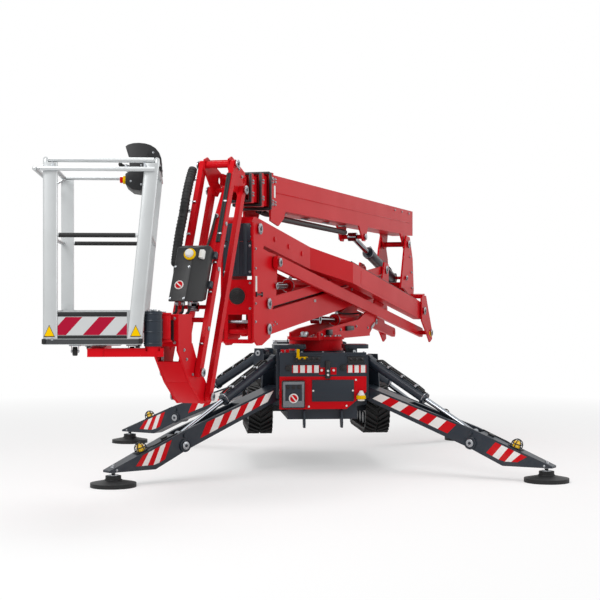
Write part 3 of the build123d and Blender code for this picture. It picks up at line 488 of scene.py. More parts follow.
LEG_TOP = ((0.0, 0.690), (0.930, 0.384), (1.580, 0.124))
LEG_LOW = ((0.0, 0.580), (0.930, 0.228), (1.190, 0.108), (1.580, 0.108))
LEG_BOSS = (0.930, 0.270)
LEG_BOSS_FACE = 0.0835
LEG_FOOT = 1.520
LEG_SLOPE = math.radians(21.8)
LEG_RAM_PIN = 0.895
LEG_RAM_RUN = (0.930, -0.550)
LEG_HALF = 0.075
LEG_TAPER = 1.020
LEG_TIP_HALF = 0.045
LEG_LAMP = 1.274


def on_line(line, x):
    """The height of a side's edge at x."""
    for (x0, z0), (x1, z1) in zip(line, line[1:]):
        if x <= x1:
            return z0 + (z1 - z0) * (x - x0) / (x1 - x0)
    return line[-1][1]


def leg_half(x):
    share = max(0.0, (x - LEG_TAPER) / (1.581 - LEG_TAPER))
    return LEG_HALF + (LEG_TIP_HALF - LEG_HALF) * share


class LIFT_OT_legs(bpy.types.Operator):
    """Dress the four legs with striped plates, pins, lamp guards and hoses"""
    bl_idname = "lift.legs"
    bl_label = "Legs"

    # How stripes lean on a leg's two sides, and how far back their rows start
    LEAN = {1: 0.060, -1: -0.075}
    BACK = {1: 0.0, -1: 0.050}

    def stripes(self, shop, side):
        """Stripes along the web, which lean to the right as one faces it."""
        for first, count, width, tones in ((0.130, 8, sizes().stripe, ("white", "stripe_red")),
                                           (1.110, 5, sizes().short_stripe, ("stripe_red", "white"))):
            lean = self.LEAN[side]
            for i in range(count):
                x0 = first - self.BACK[side] + i * width
                corners = [(x, on_line(LEG_LOW, x) + 0.034) for x in (x0, x0 + width)]
                corners += [(x, on_line(LEG_TOP, x) - 0.016) for x in (x0 + width - lean, x0 - lean)]
                outline = [(x, side * (leg_half(x) + 0.0003), z) for x, z in corners]
                shop.prism(outline, (0, side * sizes().plate, 0), tones[i % 2])

    def trim(self, name, place, slope):
        """The stripes, the pin ends, the foot's bolt, and the lamp's cable with its clip."""
        shop = Shop(place)
        for side in (-1, 1):
            self.stripes(shop, side)
            boss = (LEG_BOSS[0], side * LEG_BOSS_FACE, LEG_BOSS[1])
            shop.pin(boss, (0, side, 0), 0.024)
            shop.ring(boss, (0, 1, 0), 0.046, 0.004, "steel")
            shop.bolt((LEG_FOOT, side * (leg_half(LEG_FOOT) + 0.0005), 0.124), (0, side, 0), 0.007)
        x = LEG_LAMP - 0.20
        shop.block((x, 0, on_line(LEG_TOP, x) + 0.008), (0.05, 0.03, 0.012), "plastic", 0.003, slope)
        shop.rod((LEG_FOOT, 0, 0.100), (LEG_FOOT, 0, 0.148), 0.020, "zinc", 24, 0.003)
        shop.rod((LEG_FOOT, 0, 0.146), (LEG_FOOT, 0, 0.160), 0.011, "zinc", 6, 0.001)
        shop.finish("leg_trim_" + name, "leg_" + name, "steel")
        cable = [(x, y, on_line(LEG_TOP, x) + up) for x, y, up in (
            (0.985, 0.052, 0.004), (1.06, 0.042, 0.0045), (1.14, 0.042, 0.0045), (1.20, 0.042, 0.0045),
            (1.235, 0.010, 0.006))]
        hose("lamp_cable_" + name, "leg_" + name, place, [cable], 0.004)

    def guard(self, name, place, slope):
        """The wire guard over the lamp."""
        wire, bow = sizes().wire, 0.043
        guard = Shop(place @ Matrix.Translation((LEG_LAMP, 0, on_line(LEG_TOP, LEG_LAMP))) @ slope)
        guard.ring((0, 0, 0.006), UP, 0.046, wire, "plastic")
        guard.ring((0, 0, 0.036), UP, bow, wire, "plastic")
        for turn in range(3):
            axis = (math.cos(turn * math.pi / 3), math.sin(turn * math.pi / 3), 0)
            out = (-axis[1], axis[0], 0)
            guard.ring((0, 0, 0.026), axis, bow, wire, "plastic", 180.0, out, 14)
            for end in (-1, 1):
                foot = Vector(out) * 0.045 * end
                guard.rod(foot + UP * 0.003, foot * 0.96 + UP * 0.028, wire, "plastic", 8)
        guard.block((0, 0, 0.003), (0.110, 0.070, 0.005), "plastic", 0.002)
        guard.finish("lamp_guard_" + name, "leg_" + name, "plastic")

    def ram(self, name, place):
        """The hoses on the ram's barrel, their clips and the gland."""
        x, z = LEG_RAM_RUN
        base = Vector((0, 0, LEG_RAM_PIN))
        down, up = Vector((x, 0, z)).normalized(), Vector((-z, 0, x)).normalized()
        lines = []
        for y in (-0.018, 0.018):
            run = ((0.085, 0.036), (0.105, 0.060), (0.16, 0.053), (0.34, 0.053), (0.52, 0.053),
                   (0.55 + abs(y - 0.018), 0.046))
            lines.append([base + down * along + up * off + Vector((0, y, 0)) for along, off in run])
        hose("ram_hoses_" + name, "leg_barrel_" + name, place, lines, 0.0075)
        clips = Shop(place)
        turn = Matrix.Rotation(math.atan2(-z, x), 4, "Y")
        for at in (0.20, 0.34, 0.48):
            clips.block(base + down * at + up * 0.049, (0.022, 0.062, 0.018), "zinc", 0.003, turn)
        clips.ring(base + down * 0.583, down, 0.0465, 0.004, "zinc", start=(0, 1, 0))
        clips.finish("ram_clips_" + name, "leg_barrel_" + name, "steel")

    def foot(self, name, place):
        """The ribs on the foot pad."""
        foot = Shop(place)
        for z, radius in ((0.052, 0.061), (0.078, 0.050)):
            foot.ring((LEG_FOOT, 0, z), UP, radius, 0.005, "rubber", steps=40)
        foot.rod((LEG_FOOT, 0, 0.080), (LEG_FOOT, 0, 0.0885), 0.040, "zinc", 32, 0.002)
        foot.finish("foot_ribs_" + name, "leg_" + name, "rubber")

    def execute(self, context):
        slope = Matrix.Rotation(LEG_SLOPE, 4, "Y")
        for name in LEG_NAMES:
            place = leg_place(name)
            self.guard(name, place, slope)
            self.trim(name, place, slope)
            self.ram(name, place)
            self.foot(name, place)
        return {"FINISHED"}


class LIFT_OT_tracks(bpy.types.Operator):
    """Build the rubber tracks with their two-sided lugs, and the wheels' rims and bolts"""
    bl_idname = "lift.tracks"
    bl_label = "Tracks"

    X, Y, LENGTH, HEIGHT, BOTTOM, WIDTH = 0.482, 0.280, 1.240, 0.405, 0.270, 0.200
    BELT = 0.024
    HALF = LENGTH / 2 - HEIGHT / 2
    MIDDLE = BOTTOM + HEIGHT / 2
    ROLLER_Z = 0.367
    # Sections of a lug: out from the track's middle, and back along the loop
    SECTIONS = ((0.005, 0.0), (0.050, 0.030), (0.100, 0.062))

    def radius(self):
        """The radius of the belt's outer face round a wheel."""
        return self.HEIGHT / 2 - sizes().lug

    def station(self, s, lift):
        """A point on the loop in the side view, s along it and lift off the belt."""
        half, r = self.HALF, self.radius()
        round_end = math.pi * r
        s %= 4 * half + 2 * round_end
        if s < 2 * half:
            y, z = s - half, r + lift
        elif s < 2 * half + round_end:
            turn = (s - 2 * half) / r
            y, z = half + (r + lift) * math.sin(turn), (r + lift) * math.cos(turn)
        elif s < 4 * half + round_end:
            y, z = 3 * half + round_end - s, -r - lift
        else:
            turn = (s - 4 * half) / r
            y, z = -half + (r + lift) * math.sin(turn), (r + lift) * math.cos(turn)
        return self.Y + y, self.MIDDLE + z

    def belt(self, shop, x):
        """A flat strip carried round the loop."""
        part = bmesh.new()
        w, back = self.WIDTH / 2, self.Y - self.HALF
        high = self.MIDDLE + self.radius()
        low = high - self.BELT
        corners = ((x - w, back, low), (x + w, back, low), (x + w, back, high), (x - w, back, high))
        ends = [part.verts.new(p) for p in corners]
        edges = [part.edges.new((ends[i - 1], ends[i])) for i in range(4)]
        for way in (1, -1):
            made = bmesh.ops.extrude_edge_only(part, edges=edges)["geom"]
            verts, edges = only(made, bmesh.types.BMVert), only(made, bmesh.types.BMEdge)
            bmesh.ops.translate(part, vec=(0, way * 2 * self.HALF, 0), verts=verts)
            made = bmesh.ops.spin(part, geom=verts + edges, cent=(x, self.Y + way * self.HALF, self.MIDDLE),
                                  axis=(-1, 0, 0), angle=math.pi, steps=24, use_merge=False)["geom_last"]
            edges = only(made, bmesh.types.BMEdge)
        bmesh.ops.remove_doubles(part, verts=part.verts, dist=1e-5)
        shop.add(part, "rubber")

    def lug(self, shop, x, hand, s):
        """One slanting lug: its first section, extruded to the next ones."""
        tall = sizes().lug
        outline = ((0, -0.003), (0.026, -0.003), (0.021, tall), (0.005, tall))
        rows = [[Vector((x + hand * out, *self.station(s + back + along, lift))) for along, lift in outline]
                for out, back in self.SECTIONS]
        part = bmesh.new()
        corners = [part.verts.new(p) for p in rows[0]]
        end = part.faces.new(corners)
        for row in rows[1:]:
            places = {corner.co.copy().freeze(): place for corner, place in zip(corners, row)}
            made = bmesh.ops.extrude_face_region(part, geom=[end, *end.edges])["geom"]
            end = only(made, bmesh.types.BMFace)[0]
            new = {corner.co.copy().freeze(): corner for corner in end.verts}
            corners = [new[spot] for spot in places]
            for corner, place in zip(corners, row):
                corner.co = place
        shop.add(part, "rubber")

    def execute(self, context):
        loop = 4 * self.HALF + 2 * math.pi * self.radius()
        for side, word in ((-1, "left"), (1, "right")):
            x = side * self.X
            shop = Shop(CHASSIS)
            self.belt(shop, x)
            for i in range(sizes().lugs):
                for hand in (-1, 1):
                    self.lug(shop, x, hand, i * loop / sizes().lugs)
            shop.finish("tread_" + word, "chassis", "rubber", ("track_" + word,))

            wheel = Shop(CHASSIS)
            outer = x + side * 0.064
            for y in (self.Y - self.HALF, self.Y + self.HALF):
                hub = (outer + side * 0.0005, y, self.MIDDLE)
                wheel.turned(hub, (side, 0, 0), (0.0155, 0.062, "zinc", 40, 0.004),
                             (0.0295, 0.030, "steel", 30, 0.004))
                wheel.bolts(hub, (side, 0, 0), 0.100, 9, 0.010)
                wheel.ring(hub, (1, 0, 0), 0.132, 0.006, "steel", steps=48)
            for i in range(4):
                y = self.Y + (i - 1.5) * 2 * self.HALF / 4.4
                inner, face = [(x + side * out, y, self.ROLLER_Z) for out in (0.0605, 0.072)]
                wheel.rod(inner, face, 0.024, "zinc", 24, 0.003)
                wheel.bolt(face, (side, 0, 0))
            wheel.finish("wheel_trim_" + word, "chassis", "steel")
        return {"FINISHED"}


class LIFT_OT_panel(bpy.types.Operator):
    """Fit the chassis's control panel and deck"""
    bl_idname = "lift.panel"
    bl_label = "Chassis panel"

    FACE = -0.620
    LEVERS = ((-0.235, -0.020, 0.878, 0.924, 5), (0.196, 0.330, 0.868, 0.924, 3))
    LABELS = ((-0.249, -0.026, 4), (0.191, 0.346, 3))
    LABEL_Z = 0.825

    def upper(self, shop, face):
        """The levers in their slots, the latch, the knobs, the labels and the stop switch."""
        plate = sizes().plate
        for x0, x1, z0, z1, count in self.LEVERS:
            middle, z, wide = (x0 + x1) / 2, (z0 + z1) / 2, x1 - x0
            shop.block((middle, face - 0.0055, z), (wide, 0.010, z1 - z0), "plastic", 0.004)
            for edge in (z0 - 0.006, z1 + 0.006):
                shop.block((middle, face - 0.006, edge), (wide + 0.024, 0.011, 0.010), "steel", 0.002)
            for i in range(count):
                x = x0 + wide * (i + 0.5) / count
                shop.rod((x, face - 0.010, z), (x, face - 0.034, z + 0.004), 0.006, "zinc", 12)
                shop.ball((x, face - 0.040, z + 0.005), 0.012, "plastic")
        shop.block((-0.172, face - 0.026, 0.914), (0.096, 0.012, 0.020), "yellow", 0.004)
        shop.block((-0.203, face - 0.026, 0.946), (0.024, 0.014, 0.078), "yellow", 0.005)
        shop.turned((-0.135, face, 0.914), FORE, (0.032, 0.008, "zinc", 16, 0.001))
        for x, z in ((-0.277, 0.833), (0.160, 0.836)):
            shop.turned((x, face, z), FORE, (0.010, 0.026, "plastic", 28, 0.002),
                        (0.034, 0.021, "plastic", 28, 0.004))
            shop.block((x, face - 0.036, z), (0.008, 0.008, 0.036), "plastic", 0.002)
        back = face - plate / 2 - 0.0003
        for x0, x1, count in self.LABELS:
            wide = (x1 - x0) / count
            shop.block(((x0 + x1) / 2, back, self.LABEL_Z), (x1 - x0, plate, 0.062), "stripe_red")
            for i in range(count):
                spot = (x0 + wide * (i + 0.5), back - plate - 0.0003, self.LABEL_Z)
                shop.block(spot, (wide * 0.66, plate, 0.060), "white")
        shop.block((0.036, back, 0.808), (0.140, plate, 0.056), "red")
        for x in (-0.012, 0.084):
            shop.turned((x, face - plate, 0.815), FORE, (0.003, 0.010, "white", 20, 0.001))
        shop.block((0.036, face - 0.012, 0.818), (0.044, 0.024, 0.142), "plastic", 0.008)
        for z in (0.779, 0.811):
            shop.turned((0.036, face - 0.024, z), FORE, (0.004, 0.009, "white", 20, 0.001))

    def lower(self, shop, low):
        """The dark plate with its studs, and the socket box with its clear cover and main switch."""
        shop.block((0.079, low - 0.003, 0.652), (0.337, 0.006, 0.173), "steel", 0.002)
        for x, z in ((-0.080, 0.652), (0.238, 0.652), (0.262, 0.737), (-0.115, 0.526), (0.187, 0.531)):
            shop.turned((x, low, z), FORE, (0.008, 0.008, "white", 20, 0.002))
        for ahead, z, size, finish, bevel in (
                (0.020, 0.626, (0.184, 0.040, 0.220), "plastic", 0.010),
                (0.044, 0.626, (0.168, 0.010, 0.204), "clear", 0.006),
                (0.050, 0.640, (0.132, 0.004, 0.130), "steel", 0.002)):
            shop.block((-0.240, low - ahead, z), size, finish, bevel)
        shop.turned((-0.241, low - 0.050, 0.596), FORE, (0.012, 0.038, "white", 36, 0.003),
                    (0.020, 0.028, "stripe_red", 30, 0.003))
        shop.block((-0.241, low - 0.073, 0.596), (0.052, 0.008, 0.010), "white", 0.002,
                   Matrix.Rotation(math.radians(50), 4, "Y"))
        for x in (-0.285, -0.241, -0.197):
            shop.block((x, low - 0.053, 0.684), (0.028, 0.006, 0.030), "plastic", 0.003)

    def deck(self):
        """Buttons, the slew ring's bolts, the hood's vents and handles, and the leg pins."""
        deck = Shop(CHASSIS)
        for x in (-0.322, -0.284):
            deck.turned((x, -0.585, 0.953), UP, (0.027, 0.015, "stripe_red", 24, 0.003))
        deck.bolts((0, 0, 1.071), UP, 0.205, 24, 0.010)
        for k in range(7):
            deck.pairs(((0.3015, 0.50 + 0.06 * k, 0.915), (0.003, 0.036, 0.110), "plastic", 0.001))
        deck.pairs(((0.306, 0.900, 0.960), (0.012, 0.050, 0.022), "zinc", 0.003),
                   ((0.281, 0.10, 0.70), (0.002, 0.60, 0.10), "plastic"))
        for side in (-1, 1):
            deck.ring((side * 0.304, 0.55, 1.000), (0, 1, 0), 0.018, 0.004, "zinc", 180.0, (side, 0, 0), 12)
            deck.ring((side * 0.20, 0.50, 1.011), (1, 0, 0), 0.022, 0.005, "plastic", 180.0, (0, 1, 0), 14)
        for k in range(6):
            deck.block((0, 0.9715, 0.845 + 0.026 * k), (0.420, 0.003, 0.012), "plastic", 0.001)
        deck.side_bolts(0.2805, None, (-0.45, 0.73), (-0.45, 0.55), (0.95, 0.73), (0.95, 0.55))
        for name in LEG_NAMES:
            deck.place = leg_place(name)
            for side in (-1, 1):
                y, out = side * 0.0953, (0, side, 0)
                deck.pin((0, y, 0.635), out, 0.030)
                deck.pin((0, y, LEG_RAM_PIN), out, 0.020)
                for z in (0.760, 0.600):
                    deck.bolt((-0.120, y, z), out)
        deck.finish("deck_trim", "chassis", "steel")

    def execute(self, context):
        shop, face = Shop(CHASSIS), self.FACE
        self.upper(shop, face)
        self.lower(shop, face - 0.0005)
        shop.block((0.296, face + 0.006, 0.612), (0.050, 0.060, 0.040), "steel", 0.004)
        shop.turned((0.300, face - 0.040, 0.572), UP, (0.014, 0.028, "white", 28, 0.004),
                    (0.044, 0.038, "yellow", 32, 0.006), (0.082, 0.032, "white", 28, 0.004, 0.012))
        for x in (-0.330, -0.170, 0.0, 0.170, 0.330):
            shop.bolt((x, face + 0.0295, 0.956), UP, 0.007)
        shop.finish("panel_trim", "chassis", "plastic")
        self.deck()
        return {"FINISHED"}


# Pins and lines of the riser in the boom's side view (y, z)

LOW_MID, LOW_TURRET = (-1.592, 1.162), (1.900, 1.482)
TIE_UP = 0.186
UP_MID, UP_REAR = (-1.790, 1.885), (2.950, 1.262)
UP_TIE = (0.330, -0.232)
LOW_RAM, LOW_EYE = (1.500, 1.175), (0.0, 1.215)
UP_RAM, UP_EYE = (0.250, 1.500), (-1.420, 1.479)
LIFT_RAM, LIFT_EYE = (2.640, 1.600), (1.150, 1.955)
BOOM_PIN = (2.740, 1.945)
JIB_FRONT, JIB_REAR = (-2.270, 2.305), (-2.100, 2.140)
JIB_REACH = (-0.635, -1.395)
JIB_EYE = (JIB_FRONT[0] + 0.7 * JIB_REACH[0], JIB_FRONT[1] + 0.7 * JIB_REACH[1])
ARM_PIN, TIE_PIN, RAM_PIN = 0.032, 0.026, 0.020


def side_point(line, share, x, up=0.0):
    """A point on a line of pins, at x across, up off the line."""
    (y0, z0), (y1, z1) = line
    size = math.hypot(y1 - y0, z1 - z0)
    ny, nz = -(z1 - z0) / size, (y1 - y0) / size
    if nz < 0:
        ny, nz = -ny, -nz
    return Vector((x, y0 + (y1 - y0) * share + ny * up, z0 + (z1 - z0) * share + nz * up))


def ram_trim(name, body, base, eye, radius, barrel, first=0.072):
    """The ports, hoses and gland of a riser's ram."""
    shop = Shop(SWING)
    start, end = Vector((0, *base)), Vector((0, *eye))
    way = (end - start).normalized()
    up = Vector((0, -way.z, way.y))
    if up.z < 0:
        up = -up
    for at in (first, barrel - 0.06):
        shop.turned(start + way * at + up * (radius - 0.004), up, (0.020, 0.014, "zinc", 16, 0.002),
                    (0.030, 0.011, "zinc", 6, 0.001))
    shop.ring(start + way * (barrel - 0.001), way, radius + 0.004, 0.003, "zinc", start=(1, 0, 0))
    shop.finish(name + "_ports", body, "steel")
    run = [start + way * along + up * (radius + off) for along, off in (
        (first, 0.022), (first + 0.05, 0.028), (first + (barrel - first) * 0.36, 0.012),
        (barrel - 0.15, 0.012), (barrel - 0.07, 0.028))]
    hose(name + "_hose", body, SWING, [run], 0.008)


class LIFT_OT_riser(bpy.types.Operator):
    """Dress the turret, both arms, their ties, the two links and the rams"""
    bl_idname = "lift.riser"
    bl_label = "Riser"

    def turret(self):
        shop = Shop(SWING)
        y, z = LOW_TURRET
        shop.pins(0.1285, (y, z, ARM_PIN), (y, z + TIE_UP, ARM_PIN), (*LOW_RAM, 0.022))
        shop.side_bolts(0.1285, 0.010, (-0.26, 1.09), (0.30, 1.12), (0.80, 1.14), (1.20, 1.12))
        shop.pairs(((0.1405, 0.55, 1.128), (0.024, 0.22, 0.040), "plastic", 0.006))
        for side in (-1, 1):
            shop.cheek(side * 0.128, ((1.30, 1.10), (1.42, 1.14), (1.42, 1.17), (1.30, 1.13)),
                       side * 0.010, "zinc")
        shop.block((0.150, -0.10, 1.105), (0.030, 0.10, 0.050), "plastic", 0.006)
        shop.turned((0, -0.315, 1.072), UP, (0.038, 0.034, "zinc", 30, 0.004))
        shop.bolts((0, -0.315, 1.110), UP, 0.022, 4, 0.006)
        shop.finish("turret_trim", "turret", "steel")

    def lower_arm(self):
        line, shop = (LOW_TURRET, LOW_MID), Shop(SWING)
        for side in (-1, 1):
            for share in (0.30, 0.62):
                spot = side_point(line, share, side * 0.0775, 0.085)
                shop.block(spot, (0.005, 0.050, 0.022), "zinc", 0.001)
            for k in range(4):
                spot = side_point(line, 0.90 + 0.012 * k, side * 0.0752, 0.02 * (k % 2))
                shop.bolt(spot, (side, 0, 0), 0.006)
        shop.finish("lower_arm_trim", "lower_arm", "steel")
        lines = [[side_point(line, share, x, 0.130) for share in (0.02, 0.2, 0.45, 0.7, 0.94)]
                 for x in (-0.034, 0.0, 0.034)]
        hose("lower_arm_hoses", "lower_arm", SWING, lines, sizes().hose)

    def mid_link(self):
        shop = Shop(SWING)
        shop.pins(0.1335, (*UP_MID, ARM_PIN), (*LOW_MID, ARM_PIN),
                  (LOW_MID[0], LOW_MID[1] + TIE_UP, ARM_PIN), (*UP_EYE, RAM_PIN))
        shop.pins(0.1745, (UP_MID[0] + UP_TIE[0], UP_MID[1] + UP_TIE[1], TIE_PIN))
        shop.side_bolts(0.1255, 0.008, (-1.86, 1.60), (-1.86, 1.74), (-1.86, 1.35), (-1.86, 1.22))
        clamp = ((0.012, 0.014, 0.034), "plastic", 0.003)
        shop.pairs(((0.1262, -1.845, 1.490), (0.0014, 0.034, 0.110), "white"),
                   ((0.1300, -1.790, 1.415), (0.010, 0.130, 0.012), "plastic", 0.003),
                   ((0.1300, -1.850, 1.415), *clamp), ((0.1300, -1.730, 1.415), *clamp),
                   ((0.118, -1.896, 1.500), (0.014, 0.010, 0.860), "red", 0.002),
                   ((0.090, -1.880, 1.180), (0.030, 0.016, 0.200), "red", 0.004))
        shop.block((0, -1.8965, 1.858), (0.200, 0.006, 0.126), "steel", 0.002)
        for x in (-0.060, 0.0, 0.060):
            shop.rod((x, -1.888, 1.560), (x, -1.888, 1.918), 0.016, "steel", 20, 0.004)
        shop.block((0, -1.880, 1.080), (0.220, 0.020, 0.030), "red", 0.004)
        shop.block((0, -1.880, 1.285), (0.220, 0.014, 0.030), "red", 0.004)
        shop.rod((-0.108, -1.850, 1.150), (0.108, -1.850, 1.150), 0.018, "red", 24, 0.003)
        shop.rod((-0.108, -1.850, 1.220), (0.108, -1.850, 1.220), 0.012, "zinc", 20, 0.002)
        shop.turned((0, -1.8905, 1.403), FORE, (0.0115, 0.060, "plastic", 48, 0.004))
        shop.ring((0, -1.894, 1.403), (0, 1, 0), 0.064, 0.005, "red", steps=48)
        for k in range(4):
            shop.ring((0, -1.902, 1.403), (0, 1, 0), 0.014 + 0.012 * k, 0.002, "plastic")
        for x in (-0.095, 0.095):
            for y, z in ((-1.8932, 1.575), (-1.8932, 1.760), (-1.8912, 1.315), (-1.8912, 1.495),
                         (-1.8912, 1.825), (-1.8912, 1.900)):
                shop.bolt((x, y, z), FORE, 0.007)
        shop.finish("mid_link_trim", "mid_link", "steel")

    def upper_arm(self):
        line, shop = (UP_MID, UP_REAR), Shop(SWING)
        for side in (-1, 1):
            out = (side, 0, 0)
            for share in (0.09, 0.16, 0.23):
                shop.turned(side_point(line, share, side * 0.1005), out, (0.006, 0.020, "red", 24, 0.002))
            outline = [side_point(line, share, side * 0.2355, up) for share, up in (
                (0.50, -0.058), (0.72, -0.058), (0.72, 0.058), (0.50, 0.058))]
            shop.prism(outline, (side * 0.001, 0, 0), "red")
            for share in (0.47, 0.60, 0.74, 0.88):
                spot = side_point(line, share, side * 0.192, 0.094)
                shop.block(spot, (0.050, 0.040, 0.012), "zinc", 0.003)
            shop.turned((side * 0.0665, *UP_RAM), out, (0.0115, 0.024, "zinc", 24, 0.002))
        shop.finish("upper_arm_trim", "upper_arm", "steel")
        lines = [[side_point(line, share, first + 0.018 * k, 0.098) for share in (0.45, 0.6, 0.8, 0.97)]
                 for k in range(3) for first in (-0.21, 0.174)]
        hose("upper_arm_hoses", "upper_arm", SWING, lines, 0.008)

    def rear_link(self):
        shop = Shop(SWING)
        shop.pins(0.2675, (*UP_REAR, ARM_PIN), (UP_REAR[0] + UP_TIE[0], UP_REAR[1] + UP_TIE[1], TIE_PIN))
        shop.pins(0.1505, (*BOOM_PIN, ARM_PIN), (*LIFT_RAM, RAM_PIN))
        shop.side_bolts(0.1425, 0.010, (2.90, 1.50), (2.88, 1.66), (2.82, 1.82))
        for side in (-1, 1):
            shop.cheek(side * 0.2593, ((3.20, 1.02), (3.30, 0.98), (3.32, 1.01), (3.22, 1.05)),
                       side * 0.001, "yellow")
        lean = Matrix.Rotation(math.radians(9), 4, "X")
        for k in range(5):
            tone = "yellow" if k % 2 else "plastic"
            shop.block((-0.10 + 0.05 * k, 2.9385, 1.50), (0.024, 0.006, 0.11), tone, 0.0, lean)
        shop.finish("rear_link_trim", "rear_link", "steel")

    def execute(self, context):
        self.turret()
        self.lower_arm()
        self.mid_link()
        self.upper_arm()
        self.rear_link()
        ram_trim("lower_ram", "lower_ram_barrel", LOW_RAM, LOW_EYE, 0.048, 0.950)
        ram_trim("upper_ram", "upper_ram_barrel", UP_RAM, UP_EYE, 0.048, 1.000)
        ram_trim("lift_ram", "lift_barrel", LIFT_RAM, LIFT_EYE, 0.048, 0.980)
        ram_trim("jib_ram", "jib_barrel", JIB_REAR, JIB_EYE, 0.034, 0.640, 0.270)
        return {"FINISHED"}


class LIFT_OT_boom(bpy.types.Operator):
    """Dress the boom's three sections and its head"""
    bl_idname = "lift.boom"
    bl_label = "Boom"

    TOP, LOW, HALF = 2.302, 2.048, 0.110
    STEP = 0.017  # how much each section is smaller than the one round it
    FRONTS = (("boom_outer", -1.515), ("boom_middle", -1.685), ("boom_inner", -1.855))

    def washer(self, shop, spot, side):
        """A round plate with its four adjusting screws."""
        spot, out = Vector(spot), Vector((side, 0, 0))
        shop.turned(spot, out, (0.005, 0.023, "red", 28, 0.002))
        shop.bolts(spot + out * 0.005, out, 0.014, 4, 0.006)

    def section(self, middle):
        """The outer section's weld lines, labels, strap bolts and the lift ram's pin."""
        shop = Shop(SWING)
        half = self.HALF + 0.0003
        straps = [(y, z) for z in (self.TOP - 0.030, self.LOW + 0.030) for y in (-1.500, -1.470)]
        shop.side_bolts(self.HALF + 0.0125, 0.008, *straps)
        shop.pairs(((half + 0.0015, 0.80, middle), (0.003, 4.30, 0.006), "red", 0.001),
                   ((half + 0.0007, -1.395, 2.180), (0.0014, 0.036, 0.090), "white"))
        shop.side_bolts(half, 0.009, (2.30, 2.270), (2.60, 2.270), (2.90, 2.270))
        for side in (-1, 1):
            for z in (2.262, 2.092):
                self.washer(shop, (side * half, -1.395, z), side)
            shop.turned((side * half, *LIFT_EYE), (side, 0, 0), (0.022, 0.028, "zinc", 28, 0.003))
        shop.block((0, 0.9, self.TOP + 0.002), (0.030, 4.0, 0.004), "red", 0.001)
        for y in (-0.9, -0.3, 0.3, 0.8):
            shop.block((0, y, 2.040), (0.070, 0.030, 0.014), "zinc", 0.003)
        shop.finish("boom_trim", "boom_outer", "red_paint")

    def pads(self, index, body, front, middle):
        """The slide pads round a section's mouth."""
        pads, step = Shop(SWING), self.STEP * index
        half, top, low = 0.122 - step, 2.314 - step, 2.036 + step
        pads.pairs(((half - 0.003, front - 0.005, middle), (0.020, 0.026, top - low - 0.004), "plastic", 0.006))
        for side in (-1, 1):
            for z in (top - 0.062, low + 0.062):
                self.washer(pads, (side * (half + 0.0003), front + 0.030, z), side)
        for z in (top - 0.004, low + 0.010):
            pads.block((0, front - 0.005, z), (2 * half - 0.012, 0.026, 0.020), "plastic", 0.006)
        pads.finish("boom_pads_%d" % index, body, "plastic")

    def execute(self, context):
        middle = (self.TOP + self.LOW) / 2
        self.section(middle)
        for index, (body, front) in enumerate(self.FRONTS):
            self.pads(index, body, front, middle)
        head = Shop(SWING)
        head.pins(0.1395, (*JIB_FRONT, 0.024), (*JIB_REAR, 0.024))
        head.side_bolts(0.0945, None, (-2.06, 2.235), (-2.12, 2.285))
        head.block((0, -2.20, 2.335), (0.150, 0.060, 0.012), "red", 0.003)
        head.finish("head_trim", "boom_head", "steel")
        lines = [[(x, y, z) for y, z in ((-1.10, 2.020), (-1.16, 2.015), (-1.28, 2.022), (-1.40, 2.034))]
                 for x in (-0.03, 0.0, 0.03)]
        hose("boom_hoses", "boom_outer", SWING, lines, 0.009)
        return {"FINISHED"}


